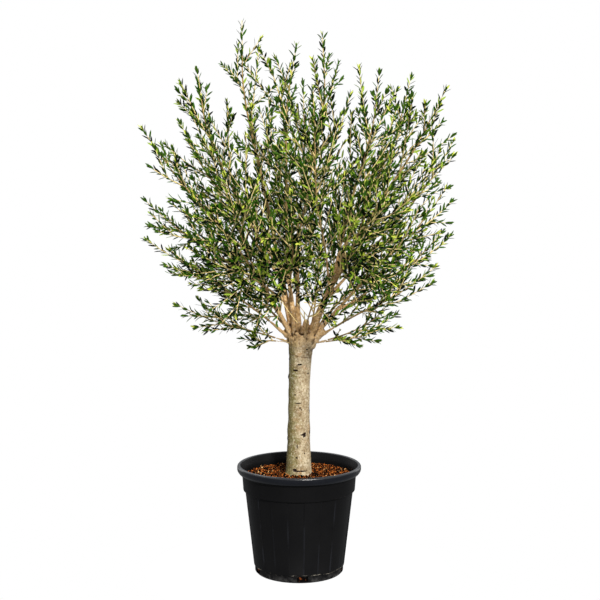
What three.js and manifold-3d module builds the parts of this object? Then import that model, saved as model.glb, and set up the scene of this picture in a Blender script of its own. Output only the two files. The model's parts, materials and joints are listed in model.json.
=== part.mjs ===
// A potted olive tree: a half standard about 2 m tall in a round black nursery pot.
// A straight clear stem ends in a knuckled head, and limbs fan out of it to an open, bushy crown.
// Millimetres, +Z up, +X to the right and -Y to the front. The origin is the middle of the pot's underside.

import * as THREE from "three";
import { mergeVertices } from "three/addons/utils/BufferGeometryUtils.js";
import Module from "manifold-3d";

const wasm = await Module();
wasm.setup();

// Driving dimensions
const gap = 0.3; // clear space between two solids that meet
const shortEdge = 0.05;

const pot = {
  height: 395,
  rimRadius: 225, // outside of the rolled rim
  rimEdgeRadius: 219, // its lower edge
  rimDrop: 28, // how far it hangs down
  mouthRadius: 213,
  bandTopRadius: 207,
  bandBottomRadius: 203,
  bandBottom: 302, // height of the step under the plain band
  bodyTopRadius: 196,
  bodyBottomRadius: 165,
  ledge: 28, // height of the step above the foot
  footRadius: 161,
  undersideRadius: 155,
  wall: 3,
  floor: 5,
  flutes: 10, // recessed panels, as wide as the plain ones between them
  fluteDepth: 1.8,
  fluteStart: -102.4, // where the first recess starts, in degrees from +X
  drainSlots: 5,
  drainWidth: 38,
  drainBottom: 6,
  drainTop: 25,
  drainHeading: -85.6,
  facets: 40, // flat sides round the pot
};

const soil = { top: 356, edge: 352, crownRadius: 90 };

const trunk = {
  // Radius at heights over the soil, up to the head
  profile: [
    [0, 50],
    [22, 46.5],
    [78, 43],
    [155, 40.5],
    [264, 38.4],
    [377, 38.6],
    [432, 41],
    [470, 44],
    [496, 49],
    [514, 42],
  ],
  shift: [-2, 8], // the foot and the head stand this far to the right of the pot's axis
  sides: 10,
};

// Each limb starts inside the head, a little off its middle. A collar and a knuckle on the trunk cover its foot.
const collar = { startRadius: 22, startHeight: 834, length: 76, swell: 1.25, knuckle: 1.75, knuckleAt: 0.4 };

// Every limb and the leader of the foliage that it carries are one curve, from the head or from a parent limb.
// heading: degrees in plan, 0 to the right and 90 to the back. lean: degrees from upright, head to furthest leaf.
// reach: from the head's middle to that leaf. bow: degrees that the curve starts more upright than its chord.
// bare: how much of the curve is bare limb. radius: at its foot. at: where on the parent a side limb starts.
const headLimbs = [
  { name: "left_low", heading: 187, lean: 58, reach: 574, bow: 10, bare: 0.28, radius: 7 },
  { name: "left_back", heading: 170, lean: 12, reach: 1150, bow: 1, bare: 0.28, radius: 14 },
  { name: "left_front", heading: 192, lean: 38, reach: 931, bow: 12, bare: 0.26, radius: 9.5 },
  { name: "centre", heading: 222, lean: 3, reach: 1040, bow: -5, bare: 0.3, radius: 11 },
  { name: "right_front", heading: 338, lean: 32, reach: 1020, bow: 10, bare: 0.34, radius: 15 },
  { name: "right_back", heading: 26, lean: 27, reach: 1050, bow: 3, bare: 0.26, radius: 13 },
  { name: "right", heading: 350, lean: 46, reach: 750, bow: 5, bare: 0.3, radius: 9.5 },
  { name: "right_low", heading: 344, lean: 65, reach: 560, bow: 6, bare: 0.28, radius: 6.5 },
  { name: "back", heading: 98, lean: 42, reach: 730, bow: 12, bare: 0.3, radius: 12 },
  { name: "back_right_low", heading: 52, lean: 66, reach: 545, bow: 12, bare: 0.28, radius: 8 },
  { name: "back_left_low", heading: 130, lean: 66, reach: 545, bow: 12, bare: 0.28, radius: 8 },
];

const sideLimbs = {
  left_back: [
    { name: "left_outer", at: 0.35, heading: 174, lean: 50, reach: 757, bow: 4, bare: 0.22, radius: 7 },
    { name: "left_side", at: 0.7, heading: 162, lean: 32, reach: 913, bow: 2, bare: 0.22, radius: 7 },
  ],
  left_front: [{ name: "front_left", at: 0.5, heading: 236, lean: 41, reach: 740, bow: -6, bare: 0.2, radius: 6 }],
  centre: [
    { name: "left_upper", at: 0.7, heading: 190, lean: 23, reach: 1030, bow: -8, bare: 0.2, radius: 7 },
    { name: "front", at: 0.4, heading: 265, lean: 42, reach: 680, bow: -6, bare: 0.24, radius: 7 },
    { name: "right_top", at: 0.78, heading: 340, lean: 5, reach: 1083, bow: -2, bare: 0.2, radius: 7 },
  ],
  right_front: [
    { name: "front_right", at: 0.45, heading: 302, lean: 41, reach: 740, bow: -6, bare: 0.2, radius: 7 },
    { name: "right_upper", at: 0.68, heading: 348, lean: 18, reach: 983, bow: 4, bare: 0.2, radius: 8 },
    { name: "front_top", at: 0.6, heading: 278, lean: 22, reach: 930, bow: -8, bare: 0.24, radius: 6.5 },
  ],
  right_back: [
    { name: "right_outer", at: 0.5, heading: 16, lean: 41, reach: 925, bow: 0, bare: 0.22, radius: 8 },
    { name: "back_right", at: 0.75, heading: 54, lean: 38, reach: 800, bow: -4, bare: 0.2, radius: 8 },
  ],
  right: [{ name: "right_side", at: 0.7, heading: 16, lean: 58, reach: 690, bow: -2, bare: 0.2, radius: 6 }],
  back: [
    { name: "back_left", at: 0.38, heading: 137, lean: 40, reach: 790, bow: -4, bare: 0.22, radius: 8 },
    { name: "back_top", at: 0.6, heading: 88, lean: 19, reach: 970, bow: 4, bare: 0.2, radius: 8 },
  ],
};

// Thin branches that have no bare limb, because their foliage starts at the trunk: low ones round the foot of
// the crown, and short ones that fill its heart.
const trunkBranches = [
  { name: "left_skirt", heading: 184, lean: 79, reach: 490, bow: 4, bare: 0, radius: 5 },
  { name: "left_droop", heading: 200, lean: 95, reach: 232, bow: 12, bare: 0, radius: 4 },
  { name: "right_skirt", heading: 6, lean: 75, reach: 415, bow: -14, bare: 0, radius: 5 },
  { name: "right_droop", heading: 336, lean: 88, reach: 326, bow: 2, bare: 0, radius: 4 },
  { name: "front_low", heading: 285, lean: 44, reach: 430, bow: 0, bare: 0, radius: 5 },
  { name: "inner_right", heading: 4, lean: 10, reach: 440, bow: -6, bare: 0, radius: 5 },
  { name: "inner_left", heading: 148, lean: 42, reach: 430, bow: 0, bare: 0, radius: 5 },
];

// The crown's outline: how far from the head's middle its leaves go, at leans from upright
const outline = [
  [0, 1090],
  [12, 1155],
  [20, 1085],
  [30, 1060],
  [40, 940],
  [48, 810],
  [58, 710],
  [66, 590],
  [76, 510],
  [90, 390],
  [105, 240],
];

const curl = { from: 0.66, degrees: 16 }; // a curve's last stretch turns up by so much
const sway = 0.012; // side to side wander, as a share of a curve's length
const limbTipShare = 0.55; // a limb's radius where it ends, as a share of its foot
const leaderTipRadius = 2;
const curvePoints = 14;

// Foliage: shoots leave the leader all round, and leaves stand on both. They are larger and fewer than on the
// real tree, so each leaf here stands for a spray. Sizes are for a long leader, and less on a short one.
const longReach = 450;
const shoot = {
  count: 5,
  lowCount: 3, // on a branch that leans more than lowLean
  lowLean: 62,
  first: 0.06, // share of the leader's length
  last: 0.9,
  angleLow: 46, // degrees off the leader, at its foot
  angleHigh: 26,
  lengthShare: 0.7, // of what is left of the leader
  lengthLeast: 80,
  lift: 0.34, // how strongly it turns up
  steps: 4,
  footRadius: 3.4,
  tipRadius: 2,
  shortest: 50,
};
const leaf = {
  length: 132,
  width: 50,
  thickness: 6,
  widest: 0.46,
  spacing: 84, // along a stem
  apart: 46, // from the middle of one leaf to the next
  angle: 36,
  roll: 50, // degrees round its own axis, to either side
  bareFoot: 0.14, // share of a stem without leaves
  tipSunk: 8, // how deep the last leaf's root is in its stem
};
const goldenAngle = 137.5;
const tries = 4; // how many turns round its stem a leaf or a shoot tries until there is room for it
const clearance = 2; // between one mass of foliage and the next, and to a limb

// Angles, random numbers and curves

const radians = THREE.MathUtils.degToRad;
const lerp = THREE.MathUtils.lerp;
const up = new THREE.Vector3(0, 0, 1);

// A small seeded generator, so that the tree grows the same way each time.
function seededRandom(seed) {
  let state = seed >>> 0;
  return () => {
    state = (Math.imul(1664525, state) + 1013904223) >>> 0;
    return state / 2 ** 32;
  };
}

// The unit vector of a heading in plan and a lean from upright.
function direction(heading, lean) {
  const flat = Math.sin(radians(lean));
  const x = flat * Math.cos(radians(heading));
  const y = flat * Math.sin(radians(heading));
  return new THREE.Vector3(x, y, Math.cos(radians(lean)));
}

// A limb's whole course. It is drawn flat, as turns away from its chord, and then laid on that chord.
function courseBetween(start, end, bow, phase) {
  const chord = end.clone().sub(start);
  const length = chord.length();
  chord.normalize();
  const side = new THREE.Vector3().crossVectors(up, chord).normalize();
  const rise = new THREE.Vector3().crossVectors(chord, side);
  const flat = [new THREE.Vector2(0, 0)];
  for (let i = 0; i < curvePoints; i++) {
    const along = (i + 0.5) / curvePoints;
    const late = Math.max(0, (along - curl.from) / (1 - curl.from));
    const turn = radians(bow * (1 - 2 * along) + curl.degrees * late ** 2);
    const last = flat[flat.length - 1];
    flat.push(new THREE.Vector2(last.x + Math.cos(turn), last.y + Math.sin(turn)));
  }
  const tip = flat[flat.length - 1];
  const points = flat.map((place, i) => {
    const laid = place.clone().rotateAround(new THREE.Vector2(), -tip.angle());
    laid.multiplyScalar(length / tip.length());
    const along = i / curvePoints;
    const wander = sway * length * Math.sin(2 * Math.PI * along + phase) * Math.sin(Math.PI * along);
    const point = start.clone().addScaledVector(chord, laid.x).addScaledVector(rise, laid.y);
    return point.addScaledVector(side, wander);
  });
  return new THREE.CatmullRomCurve3(points);
}

// The stretch of a curve between two shares of its length, as a curve of its own.
function stretch(curve, from, to, points) {
  const places = Array.from({ length: points + 1 }, (_, i) => lerp(from, to, i / points));
  return new THREE.CatmullRomCurve3(places.map((share) => curve.getPointAt(share)));
}

// Solids

// A three.js geometry as a closed solid that can be joined and cut.
function solidOf(geometry) {
  const bare = geometry.clone();
  bare.deleteAttribute("normal");
  bare.deleteAttribute("uv");
  const merged = mergeVertices(bare, 1e-4);
  return new wasm.Manifold(
    new wasm.Mesh({
      numProp: 3,
      vertProperties: new Float32Array(merged.attributes.position.array),
      triVerts: new Uint32Array(merged.index.array),
    }),
  );
}

function geometryOf(solid) {
  const made = solid.getMesh();
  const geometry = new THREE.BufferGeometry();
  geometry.setAttribute("position", new THREE.BufferAttribute(made.vertProperties, 3));
  geometry.setIndex(new THREE.BufferAttribute(made.triVerts, 1));
  geometry.computeVertexNormals();
  return geometry;
}

// The largest piece of a fused solid, without the short edges that joining leaves. Loose scraps are dropped.
function mainBody(solid) {
  const bodies = solid.asOriginal().simplify(shortEdge).decompose();
  return bodies.reduce((best, body) => (body.volume() > best.volume() ? body : best));
}

// A cylinder with closed ends, bent along a curve, whose radius changes on the way.
function taperedTube(curve, radiusAt, sides, segments) {
  const tube = new THREE.CylinderGeometry(1, 1, 1, sides, segments);
  const frames = curve.computeFrenetFrames(segments, false);
  const position = tube.attributes.position;
  const place = new THREE.Vector3();
  for (let i = 0; i < position.count; i++) {
    const ring = Math.round((position.getY(i) + 0.5) * segments);
    const radius = radiusAt(ring / segments);
    place
      .copy(curve.getPointAt(ring / segments))
      .addScaledVector(frames.normals[ring], position.getX(i) * radius)
      .addScaledVector(frames.binormals[ring], -position.getZ(i) * radius);
    position.setXYZ(i, place.x, place.y, place.z);
  }
  return solidOf(tube);
}

const tapering = (foot, tip) => (along) => lerp(foot, tip, along);

// Skeleton

const headHeight = soil.top + trunk.profile.at(-1)[0];
const head = new THREE.Vector3(trunk.shift[1], 0, headHeight);
const collarFoot = new THREE.Vector3(head.x, head.y, collar.startHeight);

// Works out one course, and where along it the bare limb starts and ends. Foliage on a short course is smaller.
function layOut(row, parent, phase) {
  const start = parent
    ? parent.curve.getPointAt(lerp(parent.from, parent.to, row.at))
    : collarFoot.clone().addScaledVector(direction(row.heading, 90), collar.startRadius);
  const size = Math.min(1, row.reach / longReach);
  const leaderReach = row.reach - size * leaf.length + leaf.tipSunk;
  const tip = head.clone().addScaledVector(direction(row.heading, row.lean), leaderReach);
  const curve = courseBetween(start, tip, row.bow, phase);
  const length = curve.getLength();
  const collarEnd = parent ? 0 : collar.length / length;
  const from = parent ? 0 : collarEnd + gap / length;
  return { ...row, curve, length, size, parent, collarEnd, from, to: row.bare || collarEnd };
}

const courses = new Map();
for (const row of [...headLimbs, ...trunkBranches]) {
  courses.set(row.name, layOut(row, null, courses.size));
}
for (const [parent, rows] of Object.entries(sideLimbs)) {
  for (const row of rows) courses.set(row.name, layOut(row, courses.get(parent), courses.size));
}

function limbSolid(course, extra = 0) {
  const bareLimb = stretch(course.curve, course.from, course.to, 6);
  return taperedTube(bareLimb, tapering(course.radius + extra, course.radius * limbTipShare + extra), 6, 3);
}

function makeLimb(course) {
  const limb = limbSolid(course);
  return course.parent ? mainBody(limb.subtract(limbSolid(course.parent, gap))) : limb;
}

// The stem, and a knuckle and a collar for each limb that leaves the head
function makeTrunk() {
  const { profile, shift, sides } = trunk;
  const height = headHeight - soil.top;
  const points = [[0, 0], ...profile, [height, 0]].map(([z, radius]) => new THREE.Vector2(radius, z));
  const stem = new THREE.LatheGeometry(points, sides).rotateX(Math.PI / 2);
  const position = stem.attributes.position;
  for (let i = 0; i < position.count; i++) {
    const share = position.getZ(i) / height;
    position.setX(i, position.getX(i) + lerp(shift[0], shift[1], share));
    position.setZ(i, soil.top + lerp(gap, height, share));
  }
  const pieces = [solidOf(stem)];
  for (const course of courses.values()) {
    if (course.parent) continue;
    const covered = stretch(course.curve, 0, course.collarEnd, 4);
    pieces.push(taperedTube(covered, tapering(course.radius * collar.swell, course.radius), 6, 1));
    if (!course.bare) continue;
    const knuckle = new THREE.IcosahedronGeometry(course.radius * collar.knuckle);
    knuckle.rotateZ(radians(course.heading)).translate(...covered.getPointAt(collar.knuckleAt));
    pieces.push(solidOf(knuckle));
  }
  return mainBody(wasm.Manifold.union(pieces));
}

// Foliage

// Distance from a point to a line of points.
function distanceTo(point, line) {
  const nearest = new THREE.Vector3();
  let least = Infinity;
  for (const segment of line) {
    segment.closestPointToPoint(point, true, nearest);
    least = Math.min(least, nearest.distanceTo(point));
  }
  return least;
}

function segmentsOf(curve, count) {
  const points = curve.getSpacedPoints(count);
  return points.slice(1).map((point, i) => new THREE.Line3(points[i], point));
}

const masses = [];
const wood = [];
for (const course of courses.values()) {
  const curve = stretch(course.curve, course.to + gap / course.length, 1, 8);
  const radius = course.radius * (course.bare ? limbTipShare : 1);
  const tipLeaf = curve.getTangentAt(1).multiplyScalar(leaf.length * course.size);
  const line = [...segmentsOf(curve, 8), new THREE.Line3(curve.getPointAt(1), tipLeaf.add(curve.getPointAt(1)))];
  const shoots = course.lean > shoot.lowLean ? shoot.lowCount : shoot.count;
  masses.push({ name: course.name, size: course.size, shoots, curve, radius, line, leafMiddles: [] });
  wood.push({ line: segmentsOf(stretch(course.curve, 0, course.to, 8), 8), radius: course.radius * collar.swell });
}
const stemLine = new THREE.Line3(new THREE.Vector3(0, 0, soil.top), collarFoot);
wood.push({ line: [stemLine], radius: trunk.profile[0][1] });

function insideOutline(point, room) {
  const out = point.clone().sub(head);
  const lean = THREE.MathUtils.radToDeg(out.angleTo(up));
  const upper = outline.findIndex(([limit]) => limit > lean);
  if (upper < 1) return false;
  const [low, high] = [outline[upper - 1], outline[upper]];
  return out.length() + room < THREE.MathUtils.mapLinear(lean, low[0], high[0], low[1], high[1]);
}

// A mass of foliage keeps inside the crown's outline, clear of trunk and limbs, and to the space that is nearer
// to its own leader than to any other.
function inSpace(point, mass, margin, room = 0) {
  if (!insideOutline(point, room)) return false;
  const least = distanceTo(point, mass.line) + 2 * margin;
  if (masses.some((other) => other !== mass && distanceTo(point, other.line) < least)) return false;
  return wood.every(({ line, radius }) => distanceTo(point, line) > radius + margin);
}

// The unit vector square to a tangent, turned round it by a number of degrees.
function squareTo(tangent, turn) {
  const other = Math.abs(tangent.z) > 0.95 ? new THREE.Vector3(1, 0, 0) : up;
  return new THREE.Vector3().crossVectors(tangent, other).normalize().applyAxisAngle(tangent, radians(turn));
}

// A leaf is a flat kite with a keel on one side: 6 faces, from its root along its axis.
function makeLeaf(root, axis, facing, mass) {
  const length = leaf.length * mass.size;
  const width = leaf.width * mass.size;
  const across = new THREE.Vector3().crossVectors(axis, facing).normalize();
  const normal = new THREE.Vector3().crossVectors(across, axis);
  const middle = root.clone().addScaledVector(axis, length * leaf.widest);
  const corners = [
    root.clone().addScaledVector(axis, length),
    middle.clone().addScaledVector(across, width / 2),
    middle.clone().addScaledVector(across, -width / 2),
  ];
  if (mass.leafMiddles.some((other) => other.distanceTo(middle) < leaf.apart * mass.size)) return null;
  if (!corners.every((corner) => inSpace(corner, mass, clearance))) return null;
  mass.leafMiddles.push(middle);
  const blade = new THREE.SphereGeometry(1, 3, 2);
  const position = blade.attributes.position;
  for (let i = 0; i < position.count; i++) {
    const pole = Math.abs(position.getY(i)) > 0.5;
    const along = pole ? (position.getY(i) + 1) / 2 : leaf.widest;
    const out = (position.getX(i) * leaf.thickness) / 1.5;
    position.setXYZ(i, out, along * length, (position.getZ(i) * width) / Math.sqrt(3));
  }
  const turn = new THREE.Matrix4().makeBasis(normal.negate(), axis, across);
  return solidOf(blade.applyMatrix4(turn.setPosition(root)));
}

// The first thing made at turns of a golden angle that finds room
function firstFit(turn, make) {
  for (let i = 0; i < tries; i++) {
    const made = make(turn + goldenAngle * i);
    if (made) return made;
  }
  return null;
}

// Leaves on one stem, each a golden angle round from the last, and one at its tip.
function leavesAlong(curve, mass, firstTurn) {
  const { bareFoot, spacing, angle, roll, tipSunk } = leaf;
  const end = curve.getTangentAt(1);
  const tipRoot = curve.getPointAt(1).addScaledVector(end, -tipSunk);
  const made = [makeLeaf(tipRoot, end, squareTo(end, firstTurn), mass)];
  const nodes = Math.round((curve.getLength() * (1 - bareFoot)) / (spacing * mass.size));
  for (let node = 0; node < nodes; node++) {
    const share = lerp(bareFoot, 1, (node + 0.4) / nodes);
    const root = curve.getPointAt(share);
    const tangent = curve.getTangentAt(share);
    const rolled = radians(node % 2 ? roll : -roll);
    const leafAt = (turn) => {
      const axis = tangent.clone().applyAxisAngle(squareTo(tangent, turn), radians(angle));
      return makeLeaf(root, axis, tangent.clone().applyAxisAngle(axis, rolled), mass);
    };
    made.push(firstFit(firstTurn + goldenAngle * node, leafAt));
  }
  return made.filter(Boolean);
}

// One side shoot leaves the leader at an angle and bends upwards until it is full length or out of its space.
function growShoot(mass, share, turn, vigour) {
  const tangent = mass.curve.getTangentAt(share);
  const angle = radians(lerp(shoot.angleLow, shoot.angleHigh, share));
  const heading = tangent.clone().applyAxisAngle(squareTo(tangent, turn), angle);
  const left = mass.curve.getLength() * (1 - share);
  const step = (shoot.lengthLeast * mass.size + left * shoot.lengthShare * vigour) / shoot.steps;
  const points = [mass.curve.getPointAt(share)];
  for (let i = 0; i < shoot.steps; i++) {
    heading.addScaledVector(up, shoot.lift / shoot.steps).normalize();
    const next = points.at(-1).clone().addScaledVector(heading, step);
    if (!inSpace(next, mass, clearance + shoot.footRadius, leaf.length * mass.size * 0.8)) break;
    points.push(next);
  }
  const grown = (points.length - 1) * step;
  return grown < shoot.shortest * mass.size ? null : new THREE.CatmullRomCurve3(points);
}

function makeFoliage(mass, seed) {
  const random = seededRandom(seed);
  const leaderRadius = tapering(mass.radius, leaderTipRadius);
  const pieces = [taperedTube(mass.curve, leaderRadius, 3, 4), ...leavesAlong(mass.curve, mass, 360 * random())];
  for (let i = 0; i < mass.shoots; i++) {
    const share = lerp(shoot.first, shoot.last, (i + 0.6 * random()) / mass.shoots);
    const vigour = lerp(0.7, 1.15, random());
    const curve = firstFit(goldenAngle * i + 60 * random(), (turn) => growShoot(mass, share, turn, vigour));
    if (!curve) continue;
    pieces.push(taperedTube(curve, tapering(shoot.footRadius, shoot.tipRadius), 3, 2));
    pieces.push(...leavesAlong(curve, mass, 360 * random()));
  }
  return mainBody(wasm.Manifold.union(pieces));
}

// Pot and soil

// A solid of revolution about Z from pairs of radius and height.
function turned(profile) {
  const points = profile.map(([radius, height]) => new THREE.Vector2(radius, height));
  const start = radians(pot.fluteStart + 90);
  return solidOf(new THREE.LatheGeometry(points, pot.facets, start).rotateX(Math.PI / 2));
}

// Radius of the pot's inside, in front of which the flutes still leave a full wall
const insideOf = (radius) => radius - pot.wall - pot.fluteDepth;

function makePot() {
  const { height, wall, floor, ledge, bandBottom, rimRadius, rimEdgeRadius, mouthRadius } = pot;
  const rimBottom = height - pot.rimDrop;
  let solid = turned([
    [0, 0],
    [pot.undersideRadius, 0],
    [pot.footRadius, 6],
    [pot.footRadius + 1, ledge - 1],
    [pot.bodyBottomRadius, ledge],
    [pot.bodyTopRadius, bandBottom],
    [pot.bandBottomRadius, bandBottom + 2],
    [pot.bandTopRadius, rimBottom - 6],
    [rimEdgeRadius, rimBottom],
    [rimRadius, rimBottom + 9],
    [rimRadius, height - 5],
    [rimRadius - 4, height],
    [mouthRadius + 1, height],
    [pot.bandTopRadius - wall, rimBottom],
    [pot.bandBottomRadius - wall, bandBottom + 4],
    [insideOf(pot.bodyTopRadius), bandBottom],
    [insideOf(pot.bodyBottomRadius), ledge],
    [insideOf(pot.footRadius), floor],
    [0, floor],
  ]);
  const pitch = 360 / pot.flutes;
  for (let i = 0; i < pot.flutes; i++) solid = solid.subtract(fluteCutter(pot.fluteStart + i * pitch, pitch / 2));
  for (let i = 0; i < pot.drainSlots; i++) {
    const slot = new THREE.BoxGeometry(4 * wall, pot.drainWidth, pot.drainTop - pot.drainBottom);
    slot.translate(pot.footRadius, 0, (pot.drainTop + pot.drainBottom) / 2);
    slot.rotateZ(radians(pot.drainHeading + (360 * i) / pot.drainSlots));
    solid = solid.subtract(solidOf(slot));
  }
  return mainBody(solid);
}

// A shallow upright panel: a sector of a ring that narrows with the pot towards its foot.
function fluteCutter(start, width) {
  const outline = new THREE.Shape();
  outline.absarc(0, 0, 1, radians(start), radians(start + width), false);
  outline.absarc(0, 0, 1.1, radians(start + width), radians(start), true);
  const bottom = pot.ledge + 10;
  const facets = (pot.facets * width) / 360;
  const depth = pot.bandBottom - bottom;
  const cutter = new THREE.ExtrudeGeometry(outline, { depth, bevelEnabled: false, curveSegments: facets });
  const position = cutter.attributes.position;
  for (let i = 0; i < position.count; i++) {
    const height = bottom + position.getZ(i);
    const share = (height - pot.ledge) / (pot.bandBottom - pot.ledge);
    const radius = lerp(pot.bodyBottomRadius, pot.bodyTopRadius, share) - pot.fluteDepth;
    position.setXYZ(i, position.getX(i) * radius, position.getY(i) * radius, height);
  }
  return solidOf(cutter);
}

// Bark mulch on the root ball, which fills the pot
function makeSoil() {
  const { wall, floor, ledge, bandBottom } = pot;
  return turned([
    [0, floor + gap],
    [insideOf(pot.footRadius) - gap, floor + gap],
    [insideOf(pot.bodyBottomRadius) - 2 * gap, ledge],
    [insideOf(pot.bodyTopRadius) - 2 * gap, bandBottom],
    [pot.bandBottomRadius - wall - 2 * gap, bandBottom + 5],
    [pot.bandTopRadius - wall - 2, soil.edge],
    [soil.crownRadius, soil.top],
    [0, soil.top],
  ]);
}

// Materials and the assembly

const finish = (color, roughness) => new THREE.MeshStandardMaterial({ color, roughness, metalness: 0 });
const materials = {
  pot: finish(0x1b1c1f, 0.5),
  soil: finish(0x6b3a1e, 0.95),
  bark: finish(0xa8926a, 0.85),
  foliage: finish(0x4c6b2c, 0.6),
};

function addMesh(group, name, solid, material) {
  const mesh = new THREE.Mesh(geometryOf(solid), material);
  mesh.name = name;
  group.add(mesh);
}

const planter = new THREE.Group();
addMesh(planter, "pot", makePot(), materials.pot);
addMesh(planter, "soil", makeSoil(), materials.soil);

const frame = new THREE.Group();
addMesh(frame, "trunk", makeTrunk(), materials.bark);
for (const course of courses.values()) {
  if (course.bare) addMesh(frame, "limb_" + course.name, makeLimb(course), materials.bark);
}

const crown = new THREE.Group();
for (const [index, mass] of masses.entries()) {
  addMesh(crown, "foliage_" + mass.name, makeFoliage(mass, 101 + index), materials.foliage);
}

const tree = new THREE.Group();
tree.add(planter, frame, crown);

export default tree;
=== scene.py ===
# %% [markdown]
# # A potted olive tree
# This script dresses a plain solid model of an olive tree in a black nursery pot. The solids are the fixed
# frame: they say where trunk, limbs, foliage and pot are, in metres, with +Z up and the front towards -Y.
# Every piece made here stands where its solid stands, and is only finer.

# %% The fixed frame
import json
import math
from collections import namedtuple

import bmesh
import bpy
import numpy as np
from mathutils import Matrix, Vector, noise

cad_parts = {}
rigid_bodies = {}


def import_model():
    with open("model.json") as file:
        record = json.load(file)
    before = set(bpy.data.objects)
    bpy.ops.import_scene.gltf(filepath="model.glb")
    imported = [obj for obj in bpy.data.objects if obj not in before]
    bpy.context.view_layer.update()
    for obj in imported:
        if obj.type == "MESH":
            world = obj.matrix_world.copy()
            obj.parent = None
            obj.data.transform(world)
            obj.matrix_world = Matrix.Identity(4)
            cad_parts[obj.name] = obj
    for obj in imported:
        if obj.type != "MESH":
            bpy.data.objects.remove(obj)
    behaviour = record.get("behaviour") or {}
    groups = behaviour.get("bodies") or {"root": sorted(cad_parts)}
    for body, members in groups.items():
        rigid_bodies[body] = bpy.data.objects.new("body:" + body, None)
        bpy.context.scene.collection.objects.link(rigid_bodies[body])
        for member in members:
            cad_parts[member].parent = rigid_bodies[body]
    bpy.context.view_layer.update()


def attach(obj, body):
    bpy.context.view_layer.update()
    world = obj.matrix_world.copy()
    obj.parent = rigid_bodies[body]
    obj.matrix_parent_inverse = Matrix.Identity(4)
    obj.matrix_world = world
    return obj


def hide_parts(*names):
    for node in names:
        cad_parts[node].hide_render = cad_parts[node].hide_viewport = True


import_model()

up = np.array([0, 0, 1.0])
scene = bpy.context.scene


def unit(vector):
    """A vector, or each row of an array of them, at length 1."""
    return vector / np.linalg.norm(vector, axis=-1, keepdims=True)


# %% [markdown]
# ## The camera
# A camera is matched to a photograph by fitting what has a known shape: here the pot's round rim and foot.
# That gives the distance, the height, the downward tilt and the focal length in pixels, which the lens
# follows from. It comes first.

# %% Camera
image_side = 600
focal_pixels = 1259.68
camera_tilt = 5.615  # degrees below level
camera_place = (0.0032, -4.5, 1.4364)
camera_data = bpy.data.cameras.new("camera")
camera_data.sensor_width = 36
camera_data.lens = camera_data.sensor_width * focal_pixels / image_side
camera = bpy.data.objects.new("camera", camera_data)
camera.location = camera_place
camera.rotation_euler = (math.radians(90 - camera_tilt), 0, 0)
scene.collection.objects.link(camera)
scene.camera = camera
print("lens", round(camera_data.lens, 2), "mm")

# %% [markdown]
# ## Materials from expressions
# Blender's material nodes can be written as sums. A Wire stands for one output of a node: adding or
# multiplying wires adds the Math nodes that do it. Colours can't go through Math nodes, which would turn
# them grey, so they are mixed. Patterns read Object coordinates: every piece has its object at the origin,
# so one pattern runs on from piece to piece at its real scale, with no unwrapping.


# %% Wires and finishes
class Wire:
    """One output of a node. Arithmetic on wires adds Math nodes."""

    def __init__(self, owner, socket):
        self.owner = owner
        self.socket = socket

    def combined(self, operation, first, second):
        return self.owner.node("ShaderNodeMath", {"operation": operation}, {0: first, 1: second})

    def __add__(self, other):
        return self.combined("ADD", self, other)

    def __sub__(self, other):
        return self.combined("SUBTRACT", self, other)

    def __rsub__(self, other):
        return self.combined("SUBTRACT", other, self)

    def __mul__(self, other):
        return self.combined("MULTIPLY", self, other)

    __radd__ = __add__
    __rmul__ = __mul__


class Nodes:
    """A node tree under construction."""

    def __init__(self, tree):
        self.tree = tree

    def node(self, kind, settings=None, inputs=None, output=0):
        """Adds a node, with its settings first and then values or wires for its sockets."""
        made = self.tree.nodes.new(kind)
        for setting, value in (settings or {}).items():
            setattr(made, setting, value)
        for socket, value in (inputs or {}).items():
            self.feed(made.inputs[socket], value)
        return Wire(self, made.outputs[output])

    def feed(self, socket, value):
        if isinstance(value, Wire):
            self.tree.links.new(value.socket, socket)
        else:
            socket.default_value = value

    def step(self, value, low, high):
        """Rises smoothly from 0 at low to 1 at high."""
        values = {"Value": value, "From Min": low, "From Max": high}
        return self.node("ShaderNodeMapRange", {"interpolation_type": "SMOOTHSTEP"}, values)

    def between(self, value, low, high, fade):
        """1 from low to high, fading to 0 over the two widths of fade below and above them."""
        return self.step(value, low - fade[0], low) * (1 - self.step(value, high, high + fade[1]))


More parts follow.
